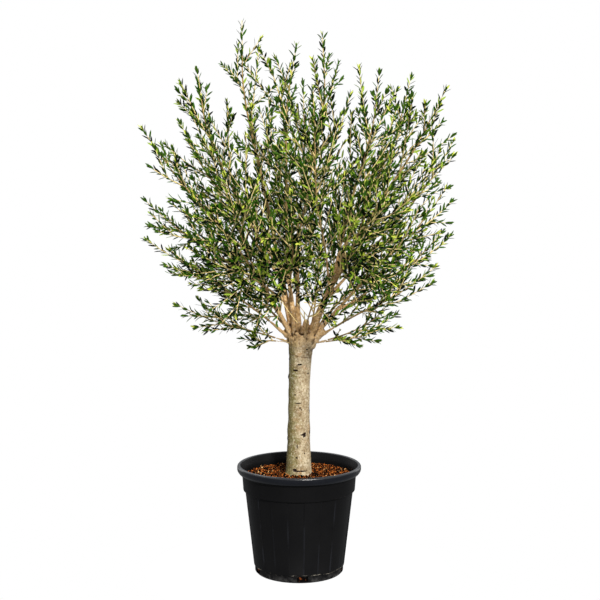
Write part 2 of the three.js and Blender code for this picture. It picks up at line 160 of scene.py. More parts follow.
class Finish(Nodes):
    """A material under construction."""

    def __init__(self, name, **values):
        self.material = bpy.data.materials.new(name)
        self.material.use_nodes = True
        super().__init__(self.material.node_tree)
        self.shader = self.tree.nodes["Principled BSDF"]
        self.set(**values)

    def set(self, **values):
        """Feeds the shader: base_color=..., roughness=... and so on."""
        for name, value in values.items():
            self.feed(self.shader.inputs[name.replace("_", " ").title().replace("Ior", "IOR")], value)

    def mix(self, factor, first, second):
        return self.node("ShaderNodeMix", {"data_type": "RGBA"}, {0: factor, 6: first, 7: second}, output=2)

    def lay_over(self, colour, layers):
        """A colour with other colours laid over it one after the other. Each comes after its share."""
        for share, tone in layers:
            colour = self.mix(share, colour, tone)
        return colour

    def place(self, stretch=(1, 1, 1)):
        """Object coordinates in metres, multiplied along each axis."""
        coordinates = self.node("ShaderNodeTexCoord", output="Object")
        return self.node("ShaderNodeMapping", {}, {"Vector": coordinates, "Scale": stretch})

    def axis(self, letter):
        return self.node("ShaderNodeSeparateXYZ", {}, {0: self.place()}, output=letter)

    def noise(self, scale, detail=3, stretch=(1, 1, 1), roughness=0.5):
        values = {"Vector": self.place(stretch), "Scale": scale, "Detail": detail, "Roughness": roughness}
        return self.node("ShaderNodeTexNoise", {}, values)

    def cells(self, scale, output, stretch=(1, 1, 1)):
        values = {"Vector": self.place(stretch), "Scale": scale}
        return self.node("ShaderNodeTexVoronoi", {}, values, output)

    def attribute(self, name):
        """A number that the mesh keeps at each of its points."""
        return self.node("ShaderNodeAttribute", {"attribute_name": name}, output="Fac")

    def bump(self, height, distance, strength=1.0):
        values = {"Height": height, "Distance": distance, "Strength": strength}
        self.set(normal=self.node("ShaderNodeBump", {}, values))


def seen(red, green, blue):
    """A colour as a screen shows it, from 0 to 255, as the linear colour that Blender takes."""
    shares = np.array([red, green, blue]) / 255
    linear = np.where(shares > 0.04045, ((shares + 0.055) / 1.055) ** 2.4, shares / 12.92)
    return (*linear, 1)


def plain_finish(name, colour, roughness, gloss):
    return Finish(name, base_color=seen(*colour), roughness=roughness, specular_ior_level=gloss)


# %% [markdown]
# ## Floor and light
# The photograph is a cut-out on white, lit softly from all round with one stronger light from the front
# right. A white world gives the background, and a round of white paper under the pot takes its shadow. The
# paper glows by itself, so that the shadow stays faint, and it is small, because a wide white floor would
# fill the crown with light from below. The world looks white but lights less than it looks, so that the
# dark pot doesn't turn grey. In reflections it is brighter overhead than at the horizon, so the rolled rim
# gets a light crest and the upright wall stays dark. Two strips behind the pot light its sides. A weak
# light from the front has no gloss and only lifts the shadows of the crown.

# %% Floor
floor_radius = 0.55
floor_glow = 0.95
floor_bm = bmesh.new()
bmesh.ops.create_circle(floor_bm, cap_ends=True, segments=96, radius=floor_radius)
floor_mesh = bpy.data.meshes.new("floor")
floor_bm.to_mesh(floor_mesh)
floor_bm.free()
floor = bpy.data.objects.new("floor", floor_mesh)
scene.collection.objects.link(floor)
floor.visible_glossy = False
paper = Finish("floor_paper", roughness=0.9, emission_color=(1, 1, 1, 1), emission_strength=floor_glow)
paper.set(base_color=paper.mix(paper.noise(3, detail=2), seen(70, 70, 70), seen(74, 74, 74)))
floor_mesh.materials.append(paper.material)

# %% World and lights
scene.view_settings.view_transform = "Standard"
world = bpy.data.worlds.new("studio")
world.use_nodes = True
scene.world = world
sky_colour = (0.96, 0.98, 1, 1)
sky_strength = 0.1
mirrored_low, mirrored_high = 0.16, 1.3  # added in reflections, at the horizon and overhead
overhead_from = 0.7  # how steep a direction is that counts as overhead, 1 being straight up
sky = Nodes(world.node_tree)
sky_way = sky.node("ShaderNodeTexCoord", output="Generated")
sky_height = sky.node("ShaderNodeSeparateXYZ", {}, {0: sky_way}, output="Z")
mirrored = mirrored_low + (mirrored_high - mirrored_low) * sky.step(sky_height, 0, overhead_from)
strength = sky_strength + sky.node("ShaderNodeLightPath", output="Is Glossy Ray") * mirrored
lit = sky.node("ShaderNodeBackground", {}, {"Color": sky_colour, "Strength": strength})
white = sky.node("ShaderNodeBackground", {}, {"Color": (1, 1, 1, 1)})
in_view = sky.node("ShaderNodeLightPath", output="Is Camera Ray")
shown = sky.node("ShaderNodeMixShader", {}, {0: in_view, 1: lit, 2: white})
sky.feed(sky.tree.nodes["World Output"].inputs["Surface"], shown)


def add_light(name, kind, strength, direction, **settings):
    """A light that shines from a direction towards the middle of the tree. Cameras don't see it."""
    data = bpy.data.lights.new(name, kind)
    data.energy = strength
    for setting, value in settings.items():
        setattr(data, setting, value)
    light = bpy.data.objects.new(name, data)
    light.location = Vector(direction) + Vector((0, 0, 1))
    light.rotation_euler = Vector(direction).to_track_quat("Z", "Y").to_euler()
    light.visible_camera = False
    scene.collection.objects.link(light)
    return light


add_light("key", "SUN", 4.2, (1.0, -3.0, 2.0), angle=math.radians(10), color=(1, 0.98, 0.93))
fill = add_light("fill", "SUN", 0.6, (-0.2, -3.0, 0.1), angle=math.radians(30))
fill.visible_glossy = False
add_light("top", "SUN", 1.6, (-0.8, 1.2, 3.0), angle=math.radians(40))
for side in (-1, 1):
    add_light(f"strip_{side}", "AREA", 8, (side * 1.9, 1.9, 0.2), shape="RECTANGLE", size=0.5, size_y=2.2)

# %% [markdown]
# ## Pieces
# A piece is a mesh that rides on the frame's one body, takes the finishes it is given, and may stand for
# some of the plain solids, which are then hidden.


# %% Making pieces
def add_piece(name, mesh, finishes, replaces, numbers=None):
    """Adds a mesh as a piece. numbers says which of the finishes each face has."""
    for finish in finishes:
        mesh.materials.append(finish.material)
    if numbers is not None:
        mesh.polygons.foreach_set("material_index", np.array(numbers, np.int32))
    piece = bpy.data.objects.new(name, mesh)
    scene.collection.objects.link(piece)
    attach(piece, "root")
    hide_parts(*replaces)
    mesh.calc_loop_triangles()
    print(name, len(mesh.loop_triangles), "triangles")


def mesh_from(bm, name, sharp=35):
    """A bmesh as a mesh, shaded smooth except over edges sharper than so many degrees."""
    bmesh.ops.recalc_face_normals(bm, faces=bm.faces)
    for face in bm.faces:
        face.smooth = True
    for edge in bm.edges:
        edge.smooth = edge.calc_face_angle(0) < math.radians(sharp)
    mesh = bpy.data.meshes.new(name)
    bm.to_mesh(mesh)
    bm.free()
    return mesh


def mesh_of(name, points, faces):
    mesh = bpy.data.meshes.new(name)
    mesh.from_pydata(points.reshape(-1, 3).tolist(), [], faces)
    return mesh


def keep_at_points(mesh, name, values):
    """Keeps a number at each point of a mesh, for a finish to read."""
    layer = mesh.attributes.new(name, "FLOAT", "POINT")
    layer.data.foreach_set("value", values.astype(np.float32))


def spin_profile(profile, steps):
    """A surface of revolution about Z from pairs of radius and height, from the axis or back to the start."""
    bm = bmesh.new()
    rows = [bm.verts.new((radius, 0, height)) for radius, height in profile]
    edges = [bm.edges.new(pair) for pair in zip(rows, rows[1:])]
    turn = {"cent": (0, 0, 0), "axis": (0, 0, 1), "angle": 2 * math.pi, "steps": steps, "use_merge": True}
    bmesh.ops.spin(bm, geom=rows + edges, **turn)
    bmesh.ops.remove_doubles(bm, verts=bm.verts, dist=1e-6)
    return bm


# %% [markdown]
# ## The pot
# The real pot is one thin moulding of black plastic: a rolled rim, a plain band, ten shallow recessed
# panels with ten plain ones between them, a ledge and a foot with five drain openings. It could be cut out
# of a solid, but a moulding is nearer to a spun profile: its corners are rounded first, then the profile
# is spun, and the panels and openings are worked into the fine mesh.

# %% Sizes of the pot
pot_height = 0.395
rim_radius = 0.225
rim_edge_radius = 0.219
rim_bottom = pot_height - 0.028
mouth_radius = 0.213
band_top_radius = 0.207
band_bottom_radius = 0.203
band_bottom = 0.302
body_top_radius = 0.196
body_bottom_radius = 0.165
ledge = 0.028
foot_radius = 0.161
underside_radius = 0.155
pot_wall = 0.003
pot_floor = 0.005
flutes = 10
flute_depth = 0.0018
flute_start = -102.4  # degrees from +X
flute_bottom = ledge + 0.008
flute_top = band_bottom - 0.0025
drain_slots = 5
drain_low, drain_high = 0.006, 0.025
pot_steps = 600  # divides into the flutes and the drain slots
drain_steps = range(16, 40)  # the first slot's share of those steps, counted from the first flute


def inside_of(radius):
    """The inner radius of the wall, which lies behind the recessed panels."""
    return radius - pot_wall - flute_depth


def rounded(corners, cuts=5):
    """A profile's points. Each corner has a radius, a height and a rounding, and becomes a short curve."""
    made = []
    for before, corner, after in zip([corners[0], *corners], corners, [*corners[1:], corners[-1]]):
        here = Vector(corner[:2])
        ways = [Vector(other[:2]) - here for other in (before, after)]
        reach = min(corner[2], *(way.length / 2.2 for way in ways))  # leaves room for the next corner
        if reach < 1e-6:
            made.append(here)
            continue
        start, end = (here + way.normalized() * reach for way in ways)
        made += [start.lerp(here, t).lerp(here.lerp(end, t), t) for t in np.linspace(0, 1, cuts)]
    return made


def body_radius(height):
    """The outer radius of the body, which tapers from the band to the ledge."""
    share = (height - ledge) / (band_bottom - ledge)
    return body_bottom_radius + (body_top_radius - body_bottom_radius) * share


# %% Pot profile
panel_rows = [flute_bottom, flute_bottom + 0.004, 0.12, 0.21, band_bottom - 0.003, band_bottom - 0.002]
pot_profile = rounded([
    (0, 0, 0),
    (underside_radius, 0, 0.002),
    (foot_radius, drain_low, 0),
    (foot_radius + 0.0008, drain_high, 0),
    (foot_radius + 0.001, ledge - 0.001, 0.0004),
    (body_bottom_radius, ledge, 0.001),
    *((body_radius(height), height, 0) for height in panel_rows),
    (body_top_radius, band_bottom, 0.0006),
    (band_bottom_radius, band_bottom + 0.002, 0.0014),
    (band_top_radius, rim_bottom - 0.006, 0.003),
    (rim_edge_radius, rim_bottom, 0.0016),
    (rim_radius, rim_bottom + 0.009, 0.004),
    (rim_radius, pot_height - 0.005, 0.004),
    (rim_radius - 0.004, pot_height, 0.004),
    (mouth_radius + 0.001, pot_height, 0.004),
    (band_top_radius - pot_wall, rim_bottom, 0.006),
    (band_bottom_radius - pot_wall, band_bottom + 0.004, 0.001),
    (inside_of(body_top_radius), band_bottom, 0.001),
    (inside_of(body_bottom_radius), ledge, 0.001),
    (inside_of(foot_radius), drain_high, 0),
    (inside_of(foot_radius), drain_low, 0),
    (inside_of(foot_radius) - 0.001, pot_floor, 0),
    (0, pot_floor, 0),
])
print("pot profile:", len(pot_profile), "points, spun in", pot_steps, "steps")

# %% Panels and drain openings
pot_bm = spin_profile(pot_profile, pot_steps)
bmesh.ops.rotate(pot_bm, verts=pot_bm.verts, matrix=Matrix.Rotation(math.radians(flute_start), 3, "Z"))
step_angle = 360 / pot_steps
flute_pitch = pot_steps // flutes
slot_pitch = pot_steps // drain_slots


def step_of(point):
    """Which step of the spin a point stands on, counted from the start of the first flute."""
    return (math.degrees(math.atan2(point.y, point.x)) - flute_start) / step_angle % pot_steps


def edge_step(edge):
    first, second = edge.verts
    return step_of((first.co + second.co) / 2)


def steps_between(step, other):
    """How many steps lie between two places round the pot, the shorter way."""
    return abs((step - other + pot_steps / 2) % pot_steps - pot_steps / 2)


for vertex in pot_bm.verts:
    radius, height = vertex.co.xy.length, vertex.co.z
    if flute_bottom < height < flute_top and radius > body_radius(height) - 0.001:
        within = round(step_of(vertex.co)) % flute_pitch
        if 0 < within < flute_pitch / 2:
            vertex.co.xy *= 1 - flute_depth / radius

slot_faces = []
for face in pot_bm.faces:
    middle = face.calc_center_median()
    if drain_low < middle.z < drain_high and middle.xy.length > inside_of(foot_radius) - 0.0005:
        if math.floor(step_of(middle)) % slot_pitch in drain_steps:
            slot_faces.append(face)
bmesh.ops.delete(pot_bm, geom=slot_faces, context="FACES_ONLY")
open_edges = [edge for edge in pot_bm.edges if len(edge.link_faces) == 1]
loose_edges = [edge for edge in pot_bm.edges if not edge.link_faces]
bmesh.ops.delete(pot_bm, geom=loose_edges, context="EDGES")
bmesh.ops.delete(pot_bm, geom=[v for v in pot_bm.verts if not v.link_edges], context="VERTS")
for slot in range(drain_slots):
    middle_step = (slot * slot_pitch + drain_steps.start + len(drain_steps) / 2) % pot_steps
    near = [edge for edge in open_edges if steps_between(edge_step(edge), middle_step) < slot_pitch / 2]
    bmesh.ops.bridge_loops(pot_bm, edges=near)
print("drain openings cut through", len(slot_faces), "faces")

# %% [markdown]
# The plastic is black with a satin skin. What makes it look moulded is small: a fine pebbled grain, faint
# upright streaks where the wall drew off its mould, pale dashes along the ledge that are partly scuffs and
# partly painted highlights, and pale wear at the foot. The panel edges are coloured lighter as painted
# highlights, and so are short dashes along the band's lower edge at the sides. The rolled rim is smoother,
# bluer and shinier than the rest, so it has a finish of its own.


# %% Black plastic
def black_plastic(name, dark, pale, roughness, shine):
    """Moulded plastic, with pale wear at the foot, pale dashes along the ledge that are scuffs and painted
    highlights, and painted highlights along the band's lower edge at the sides and on the panel edges.
    """
    finish = Finish(name, specular_ior_level=shine)
    height = finish.axis("Z")
    grain = finish.noise(1500, detail=2)
    streaks = finish.noise(55, detail=4, stretch=(1, 1, 0.05))
    mottling = finish.noise(14, detail=4)
    scuffs_and_glints = finish.step(finish.noise(60, detail=6, stretch=(0.5, 0.5, 3), roughness=0.7), 0.54, 0.62)
    near_ledge = finish.between(height, ledge - 0.001, ledge + 0.001, fade=(0.003, 0.003))
    lip_glints = finish.between(height, band_bottom + 0.0018, band_bottom + 0.003, fade=(0.001, 0.0015))
    to_the_sides = finish.step(finish.axis("X") * finish.axis("X"), 0.016, 0.028)
    foot_wear = (1 - finish.step(height, 0.002, 0.03)) * finish.step(finish.noise(40, detail=6), 0.42, 0.7)
    # painted highlight: the panel edges are coloured lighter, as if they caught the light
    panel_edge_highlights = finish.attribute("edge") * finish.step(finish.noise(9), 0.42, 0.6)
    layers = [
        # painted highlight on the panel edges
        (panel_edge_highlights, seen(26, 27, 31)),
        (0.4 * foot_wear, seen(92, 91, 90)),
        # pale dashes: scuffs and painted highlights along the ledge, painted highlights along the band's
        # lower edge at the sides
        (0.7 * scuffs_and_glints * (near_ledge + lip_glints * to_the_sides), seen(178, 170, 156)),
    ]
    finish.set(base_color=finish.lay_over(finish.mix(mottling, dark, pale), layers))
    finish.set(roughness=roughness + 0.12 * streaks + 0.1 * mottling)
    finish.bump(grain * 0.5 + streaks, distance=0.0006, strength=0.35)
    return finish


pot_finishes = [
    black_plastic("black_plastic", seen(9, 9, 10), seen(14, 14, 15), 0.4, 0.1),
    black_plastic("rim_plastic", seen(4, 6, 11), seen(12, 15, 23), 0.19, 0.42),
]
pot_mesh = mesh_from(pot_bm, "pot_shell")
corner_steps = np.array([step_of(vertex.co) for vertex in pot_mesh.vertices])
corner_heights = np.array([vertex.co.z for vertex in pot_mesh.vertices])
flute_half = flute_pitch / 2
from_edge = abs((corner_steps + flute_half / 2) % flute_half - flute_half / 2)
on_panels = (corner_heights > flute_bottom - 0.001) & (corner_heights < band_bottom - 0.002)
# the edge attribute says where the panel edges get their painted highlight
keep_at_points(pot_mesh, "edge", np.clip(1 - from_edge / 2, 0, 1) * on_panels)
middles = [polygon.center for polygon in pot_mesh.polygons]
on_rim = [at.z > rim_bottom + 0.001 and at.xy.length > mouth_radius - 0.001 for at in middles]
add_piece("pot_shell", pot_mesh, pot_finishes, ["pot"], on_rim)

# %% [markdown]
# ## Mulch
# Bark mulch fills the pot to a few centimetres under the rim. The bed is a lumpy spun surface that reaches
# down the wall, so that it also shows behind the drain openings. Thousands of chips lie on it. One chip is
# a bent block of twelve triangles, and all of them are one mesh made from arrays, because an object for
# each would be slow.

# %% Mulch bed
soil_top = 0.356
soil_edge = 0.352
soil_clear = 0.0009  # to the pot's wall
soil_radius = band_top_radius - pot_wall - 0.002
bed_lumps = [(55, 0.006), (160, 0.003)]  # how many to a metre, and how high
bed_sink = 0.003  # keeps the tallest lumps down at the solid's height


def bed_height(radius):
    """The bed is highest in the middle and falls a little towards the wall."""
    return soil_top + (soil_edge - soil_top) * (radius / soil_radius) ** 2


bed_profile = [
    *((radius, bed_height(radius)) for radius in np.linspace(0, soil_radius, 24)),
    (band_bottom_radius - pot_wall - soil_clear, band_bottom + 0.005),
    (inside_of(body_top_radius) - soil_clear, band_bottom),
    (inside_of(body_bottom_radius) - soil_clear, ledge),
    (inside_of(foot_radius) - soil_clear, drain_high),
    (inside_of(foot_radius) - soil_clear, pot_floor + 0.001),
    (0, pot_floor + 0.001),
]
bed_bm = spin_profile(bed_profile, 160)
for vertex in bed_bm.verts:
    if vertex.co.z > soil_edge - 0.001:
        vertex.co.z += sum(high * noise.noise(vertex.co * fine) for fine, high in bed_lumps) - bed_sink

# %% Mulch finish
mulch = Finish("mulch_bed", roughness=0.95, specular_ior_level=0.05)
crumb_share = mulch.node("ShaderNodeSeparateColor", {}, {0: mulch.cells(190, "Color")}, output="Red")
lit_bed = mulch.mix(crumb_share, seen(5, 3, 2), seen(34, 18, 9))
in_the_open = mulch.step(mulch.axis("Z"), ledge, band_bottom)
low_bed = mulch.mix(mulch.step(mulch.noise(75), 0.56, 0.62), seen(5, 4, 4), seen(104, 52, 22))
mulch.set(base_color=mulch.mix(in_the_open, low_bed, lit_bed))
mulch.bump(mulch.noise(260, detail=5, roughness=0.7), distance=0.004)
add_piece("mulch_bed", mesh_from(bed_bm, "mulch_bed"), [mulch], ["soil"])

# %% Chips
chip_tones = [
    plain_finish("chip_dark", (12, 7, 4), 0.95, 0.05),
    plain_finish("chip_rust", (92, 46, 18), 0.9, 0.05),
    plain_finish("chip_orange", (178, 100, 42), 0.9, 0.05),
    plain_finish("chip_pale", (214, 170, 112), 0.85, 0.2),
]
chip_shares = [0.52, 0.27, 0.18, 0.03]
chip_count = 8000
chip_least, chip_most = (0.004, 0.0022, 0.0015), (0.010, 0.0048, 0.003)  # length, width and height
chip_bends = (0.7, 1.2)  # shares by which each of its corners is moved in or out
chip_clear = 0.007  # from the pot's wall
chip_scatter = 0.003  # above and below the bed
heap_height, heap_width = 0.006, 0.02  # against the trunk's foot
trunk_keep_out = 0.047
draw = np.random.default_rng(12)


def random_turns(count):
    """Rotation matrices spread evenly over all turns, from random quaternions."""
    w, x, y, z = unit(draw.normal(size=(count, 4))).T
    rows = [
        [1 - 2 * (y * y + z * z), 2 * (x * y - w * z), 2 * (x * z + w * y)],
        [2 * (x * y + w * z), 1 - 2 * (x * x + z * z), 2 * (y * z - w * x)],
        [2 * (x * z - w * y), 2 * (y * z + w * x), 1 - 2 * (x * x + y * y)],
    ]
    return np.moveaxis(np.array(rows), 2, 0)


block = bmesh.new()
bmesh.ops.create_cube(block, size=1)
bmesh.ops.triangulate(block, faces=block.faces)
block_points = np.array([vertex.co for vertex in block.verts])
block_faces = np.array([[vertex.index for vertex in face.verts] for face in block.faces])
block.free()

chip_sizes = draw.uniform(chip_least, chip_most, (chip_count, 3))
angles = draw.uniform(0, 2 * math.pi, chip_count)
radii = np.sqrt(draw.uniform(trunk_keep_out**2, (soil_radius - chip_clear) ** 2, chip_count))
heaps = heap_height * np.exp(-(((radii - trunk_keep_out) / heap_width) ** 2))
heights = bed_height(radii) + heaps + draw.uniform(-chip_scatter, chip_scatter, chip_count)
chip_middles = np.stack([radii * np.cos(angles), radii * np.sin(angles), heights], axis=1)
chip_corners = block_points * chip_sizes[:, None]
chip_corners *= draw.uniform(*chip_bends, (chip_count, len(block_points), 1))
chip_points = np.einsum("nij,nkj->nki", random_turns(chip_count), chip_corners) + chip_middles[:, None]
chip_faces = block_faces + len(block_points) * np.arange(chip_count)[:, None, None]
chip_mesh = mesh_of("mulch_chips", chip_points, chip_faces.reshape(-1, 3).tolist())
chip_numbers = np.repeat(draw.choice(len(chip_tones), chip_count, p=chip_shares), len(block_faces))
add_piece("mulch_chips", chip_mesh, chip_tones, ["soil"], chip_numbers)

# %% [markdown]
# ## How the tree grows
# The solids grow by a rule: a course for each limb, a share of it bare, and on the rest a mass of foliage
# that keeps to its own space. The same rule is written here again, from the same sizes and the same seeds,
# so that every limb, shoot and spray falls where the solid has it. It could be traced from the solids'
# meshes instead, but a rule can go on to finer twigs, and points read from a mesh can't.

# %% Sizes of the tree
# A limb has a heading in plan and a lean from upright, its reach from the head, a bow in degrees, the share
# of it that is bare, and its radius. One that leaves another limb names it, and says how far along its bare
# part that is.
Limb = namedtuple("Limb", "name heading lean reach bow bare radius parent at", defaults=(None, 0))
limbs = [
    Limb("left_low", 187, 58, 0.574, 10, 0.28, 0.007),
    Limb("left_back", 170, 12, 1.150, 1, 0.28, 0.014),
    Limb("left_front", 192, 38, 0.931, 12, 0.26, 0.0095),
    Limb("centre", 222, 3, 1.040, -5, 0.3, 0.011),
    Limb("right_front", 338, 32, 1.020, 10, 0.34, 0.015),
    Limb("right_back", 26, 27, 1.050, 3, 0.26, 0.013),
    Limb("right", 350, 46, 0.750, 5, 0.3, 0.0095),
    Limb("right_low", 344, 65, 0.560, 6, 0.28, 0.0065),
    Limb("back", 98, 42, 0.730, 12, 0.3, 0.012),
    Limb("back_right_low", 52, 66, 0.545, 12, 0.28, 0.008),
    Limb("back_left_low", 130, 66, 0.545, 12, 0.28, 0.008),
    # These have no bare limb: low ones round the foot of the crown, and short ones that fill its heart.
    Limb("left_skirt", 184, 79, 0.490, 4, 0, 0.005),
    Limb("left_droop", 200, 95, 0.232, 12, 0, 0.004),
    Limb("right_skirt", 6, 75, 0.415, -14, 0, 0.005),
    Limb("right_droop", 336, 88, 0.326, 2, 0, 0.004),
    Limb("front_low", 285, 44, 0.430, 0, 0, 0.005),
    Limb("inner_right", 4, 10, 0.440, -6, 0, 0.005),
    Limb("inner_left", 148, 42, 0.430, 0, 0, 0.005),
    # These leave other limbs.
    Limb("left_outer", 174, 50, 0.757, 4, 0.22, 0.007, "left_back", 0.35),
    Limb("left_side", 162, 32, 0.913, 2, 0.22, 0.007, "left_back", 0.7),
    Limb("front_left", 236, 41, 0.740, -6, 0.2, 0.006, "left_front", 0.5),
    Limb("left_upper", 190, 23, 1.030, -8, 0.2, 0.007, "centre", 0.7),
    Limb("front", 265, 42, 0.680, -6, 0.24, 0.007, "centre", 0.4),
    Limb("right_top", 340, 5, 1.083, -2, 0.2, 0.007, "centre", 0.78),
    Limb("front_right", 302, 41, 0.740, -6, 0.2, 0.007, "right_front", 0.45),
    Limb("right_upper", 348, 18, 0.983, 4, 0.2, 0.008, "right_front", 0.68),
    Limb("front_top", 278, 22, 0.930, -8, 0.24, 0.0065, "right_front", 0.6),
    Limb("right_outer", 16, 41, 0.925, 0, 0.22, 0.008, "right_back", 0.5),
    Limb("back_right", 54, 38, 0.800, -4, 0.2, 0.008, "right_back", 0.75),
    Limb("right_side", 16, 58, 0.690, -2, 0.2, 0.006, "right", 0.7),
    Limb("back_left", 137, 40, 0.790, -4, 0.22, 0.008, "back", 0.38),
    Limb("back_top", 88, 19, 0.970, 4, 0.2, 0.008, "back", 0.6),
]
trunk_profile = [  # height over the soil, and radius
    (0, 0.05),
    (0.022, 0.0465),
    (0.078, 0.043),
    (0.155, 0.0405),
    (0.264, 0.0384),
    (0.377, 0.0386),
    (0.432, 0.041),
    (0.470, 0.044),
    (0.496, 0.049),
    (0.514, 0.042),
]
trunk_lean = [(-0.006, -0.002), (0.33, 0), (0.514, 0.008)]  # height, and how far right its middle lies there
head_height = soil_top + trunk_profile[-1][0]
head = np.array([trunk_lean[-1][1], 0, head_height])
collar_foot = np.array([trunk_lean[-1][1], 0, 0.834])
collar_radius = 0.022
collar_length = 0.076
collar_swell = 1.25
limb_tip_share = 0.55
thin_tip_share = 0.6  # of a limb that is leafy from the trunk on, where its collar ends
curl_from = 0.66
curl_degrees = 16
sway = 0.012
# The crown's outline: how far from the head it reaches at each lean from upright.
outline_leans = [0, 12, 20, 30, 40, 48, 58, 66, 76, 90, 105]
outline_reaches = [1.090, 1.155, 1.085, 1.060, 0.940, 0.810, 0.710, 0.590, 0.510, 0.390, 0.240]

# %% Sizes of shoots and sprays
leader_tip_radius = 0.0018
stem_radii = {"shoot": (0.0029, 0.0015), "spray": (0.0016, 0.0011), "fine": (0.0018, 0.0011)}  # foot and tip
long_reach = 0.45  # shorter limbs have smaller shoots and sprays
shoot_count = 5
low_shoot_count = 3  # on limbs that lean more than low_lean
low_lean = 62
shoot_first, shoot_last = 0.06, 0.9
shoot_share_scatter, shoot_turn_scatter = 0.6, 60
shoot_angle_low, shoot_angle_high = 46, 26
shoot_length_share = 0.7
shoot_length_least = 0.08
shoot_vigour_least, shoot_vigour_range = 0.7, 0.45
shoot_lift = 0.34
shoot_steps = 4
shoot_foot_radius = 0.0034
shoot_shortest = 0.05
spray_length = 0.132
spray_width = 0.05
spray_widest = 0.46
spray_spacing = 0.084
spray_apart = 0.046
spray_angle = 36
spray_roll = 50
bare_foot = 0.14
tip_sunk = 0.008
spray_least, spray_most = 0.4, 0.86  # shares of a spray's length that its twig has
spray_bend, spray_droop = 0.08, 0.3  # of its tip as a share of its length, and how much of that is downwards
golden_angle = 137.5
tries = 4
clearance = 0.002
# A mass's finer shoots reach less far by this share for each radian away from its tip. Slender masses
# leave more sky beside them and broad ones less.
narrowing = 0.8
narrowings = {
    1.4: ["left_low", "left_front", "left_side", "left_skirt", "right_top", "right_outer", "right_side"],
    0.9: ["right", "right_back", "right_skirt"],
    0.5: ["front_left", "front_right"],
    0.2: [
        *("centre", "front", "front_top", "front_low", "left_outer", "right_upper", "right_low"),
        *("back_right", "back_right_low", "back_left_low"),
    ],
}
narrowing_of = {name: share for share, names in narrowings.items() for name in names}


# %% Directions and curves
def direction(heading, lean):
    """The unit vector of a heading in plan and a lean from upright, in degrees."""
    heading, lean = math.radians(heading), math.radians(lean)
    return np.array([math.sin(lean) * math.cos(heading), math.sin(lean) * math.sin(heading), math.cos(lean)])


def turned(vector, axis, degrees):
    """A vector turned about an axis."""
    angle = math.radians(degrees)
    along = axis * np.dot(axis, vector) * (1 - math.cos(angle))
    return vector * math.cos(angle) + np.cross(axis, vector) * math.sin(angle) + along


def square_to(tangent, turn):
    """A unit vector at a right angle to a tangent, turned round it by so many degrees."""
    other = np.array([1.0, 0, 0]) if abs(tangent[2]) > 0.95 else up
    return turned(unit(np.cross(tangent, other)), tangent, turn)


def seeded_random(seed):
    """A small generator, the same as the solids grow by, so that the tree is the same each time."""
    state = seed

    def draw_next():
        nonlocal state
        state = (1664525 * state + 1013904223) % 2**32
        return state / 2**32

    return draw_next


class Curve:
    """A smooth line through points, read at shares of its length."""

    def __init__(self, points, cuts=4):
        points = np.array(points)
        padded = np.vstack([2 * points[0] - points[1], points, 2 * points[-1] - points[-2]])
        t = np.linspace(0, 1, cuts, endpoint=False)[:, None]
        pieces = [
            0.5 * (2 * b + (c - a) * t + (2 * a - 5 * b + 4 * c - d) * t**2 + (3 * b - a - 3 * c + d) * t**3)
            for a, b, c, d in zip(padded, padded[1:], padded[2:], padded[3:])
        ]
        self.points = np.vstack([*pieces, points[-1:]])
        steps = np.linalg.norm(np.diff(self.points, axis=0), axis=1)
        self.marks = np.concatenate([[0], np.cumsum(steps)])
        self.length = self.marks[-1]

    def at(self, share):
        where = np.asarray(share) * self.length
        return np.stack([np.interp(where, self.marks, column) for column in self.points.T], axis=-1)

    def tangent(self, share):
        step = 0.01
        return unit(self.at(np.minimum(1, share + step)) - self.at(np.maximum(0, share - step)))

    def stretch(self, start, end, count=8):
        return Curve(self.at(np.linspace(start, end, count + 1)))


def course_between(start, end, bow, phase, count=14):
    """A limb's course, drawn flat as turns away from its chord and then laid on that chord.
    Flat places are complex numbers, so one division turns and scales the whole drawing."""
    chord = end - start
    length = np.linalg.norm(chord)
    chord = chord / length
    side = unit(np.cross(up, chord))
    rise = np.cross(chord, side)
    along = (np.arange(count) + 0.5) / count
    late = np.clip((along - curl_from) / (1 - curl_from), 0, None)
    turns = np.radians(bow * (1 - 2 * along) + curl_degrees * late**2)
    drawn = np.concatenate([[0], np.cumsum(np.exp(1j * turns))])
    laid = drawn * length / drawn[-1]
    along = np.arange(count + 1) / count
    wander = sway * length * np.sin(2 * np.pi * along + phase) * np.sin(np.pi * along)
    return Curve(start + np.outer(laid.real, chord) + np.outer(laid.imag, rise) + np.outer(wander, side))


# %% Courses of the limbs
Grown = namedtuple("Grown", "limb curve size collar_end foliage_start")
courses = {}
for phase, limb in enumerate(limbs):
    parent = courses.get(limb.parent)
    if parent:
        bare_start, bare_end = parent.collar_end, parent.foliage_start
        start = parent.curve.at(bare_start + (bare_end - bare_start) * limb.at)
    else:
        start = collar_foot + collar_radius * direction(limb.heading, 90)
    size = min(1, limb.reach / long_reach)
    tip = head + direction(limb.heading, limb.lean) * (limb.reach - size * spray_length + tip_sunk)
    curve = course_between(start, tip, limb.bow, phase)
    collar_end = 0 if parent else collar_length / curve.length
    courses[limb.name] = Grown(limb, curve, size, collar_end, limb.bare or collar_end)
print(len(courses), "courses,", round(sum(grown.curve.length for grown in courses.values()), 1), "m of them")

# %% [markdown]
# ## Trunk and limbs
# On the tree, wood flows from the trunk into each limb, and knuckles and cut stubs sit between them. Bars
# set into each other would show hard seams, so they are only the start: they are extruded ring by ring, a
# voxel remesh melts them into one skin, and a little smoothing softens the crotches. The relief of the
# bark comes last, as moves along the normals: lumps, upright ridges, grit, a few bulges and the dark scars
# of old side shoots.


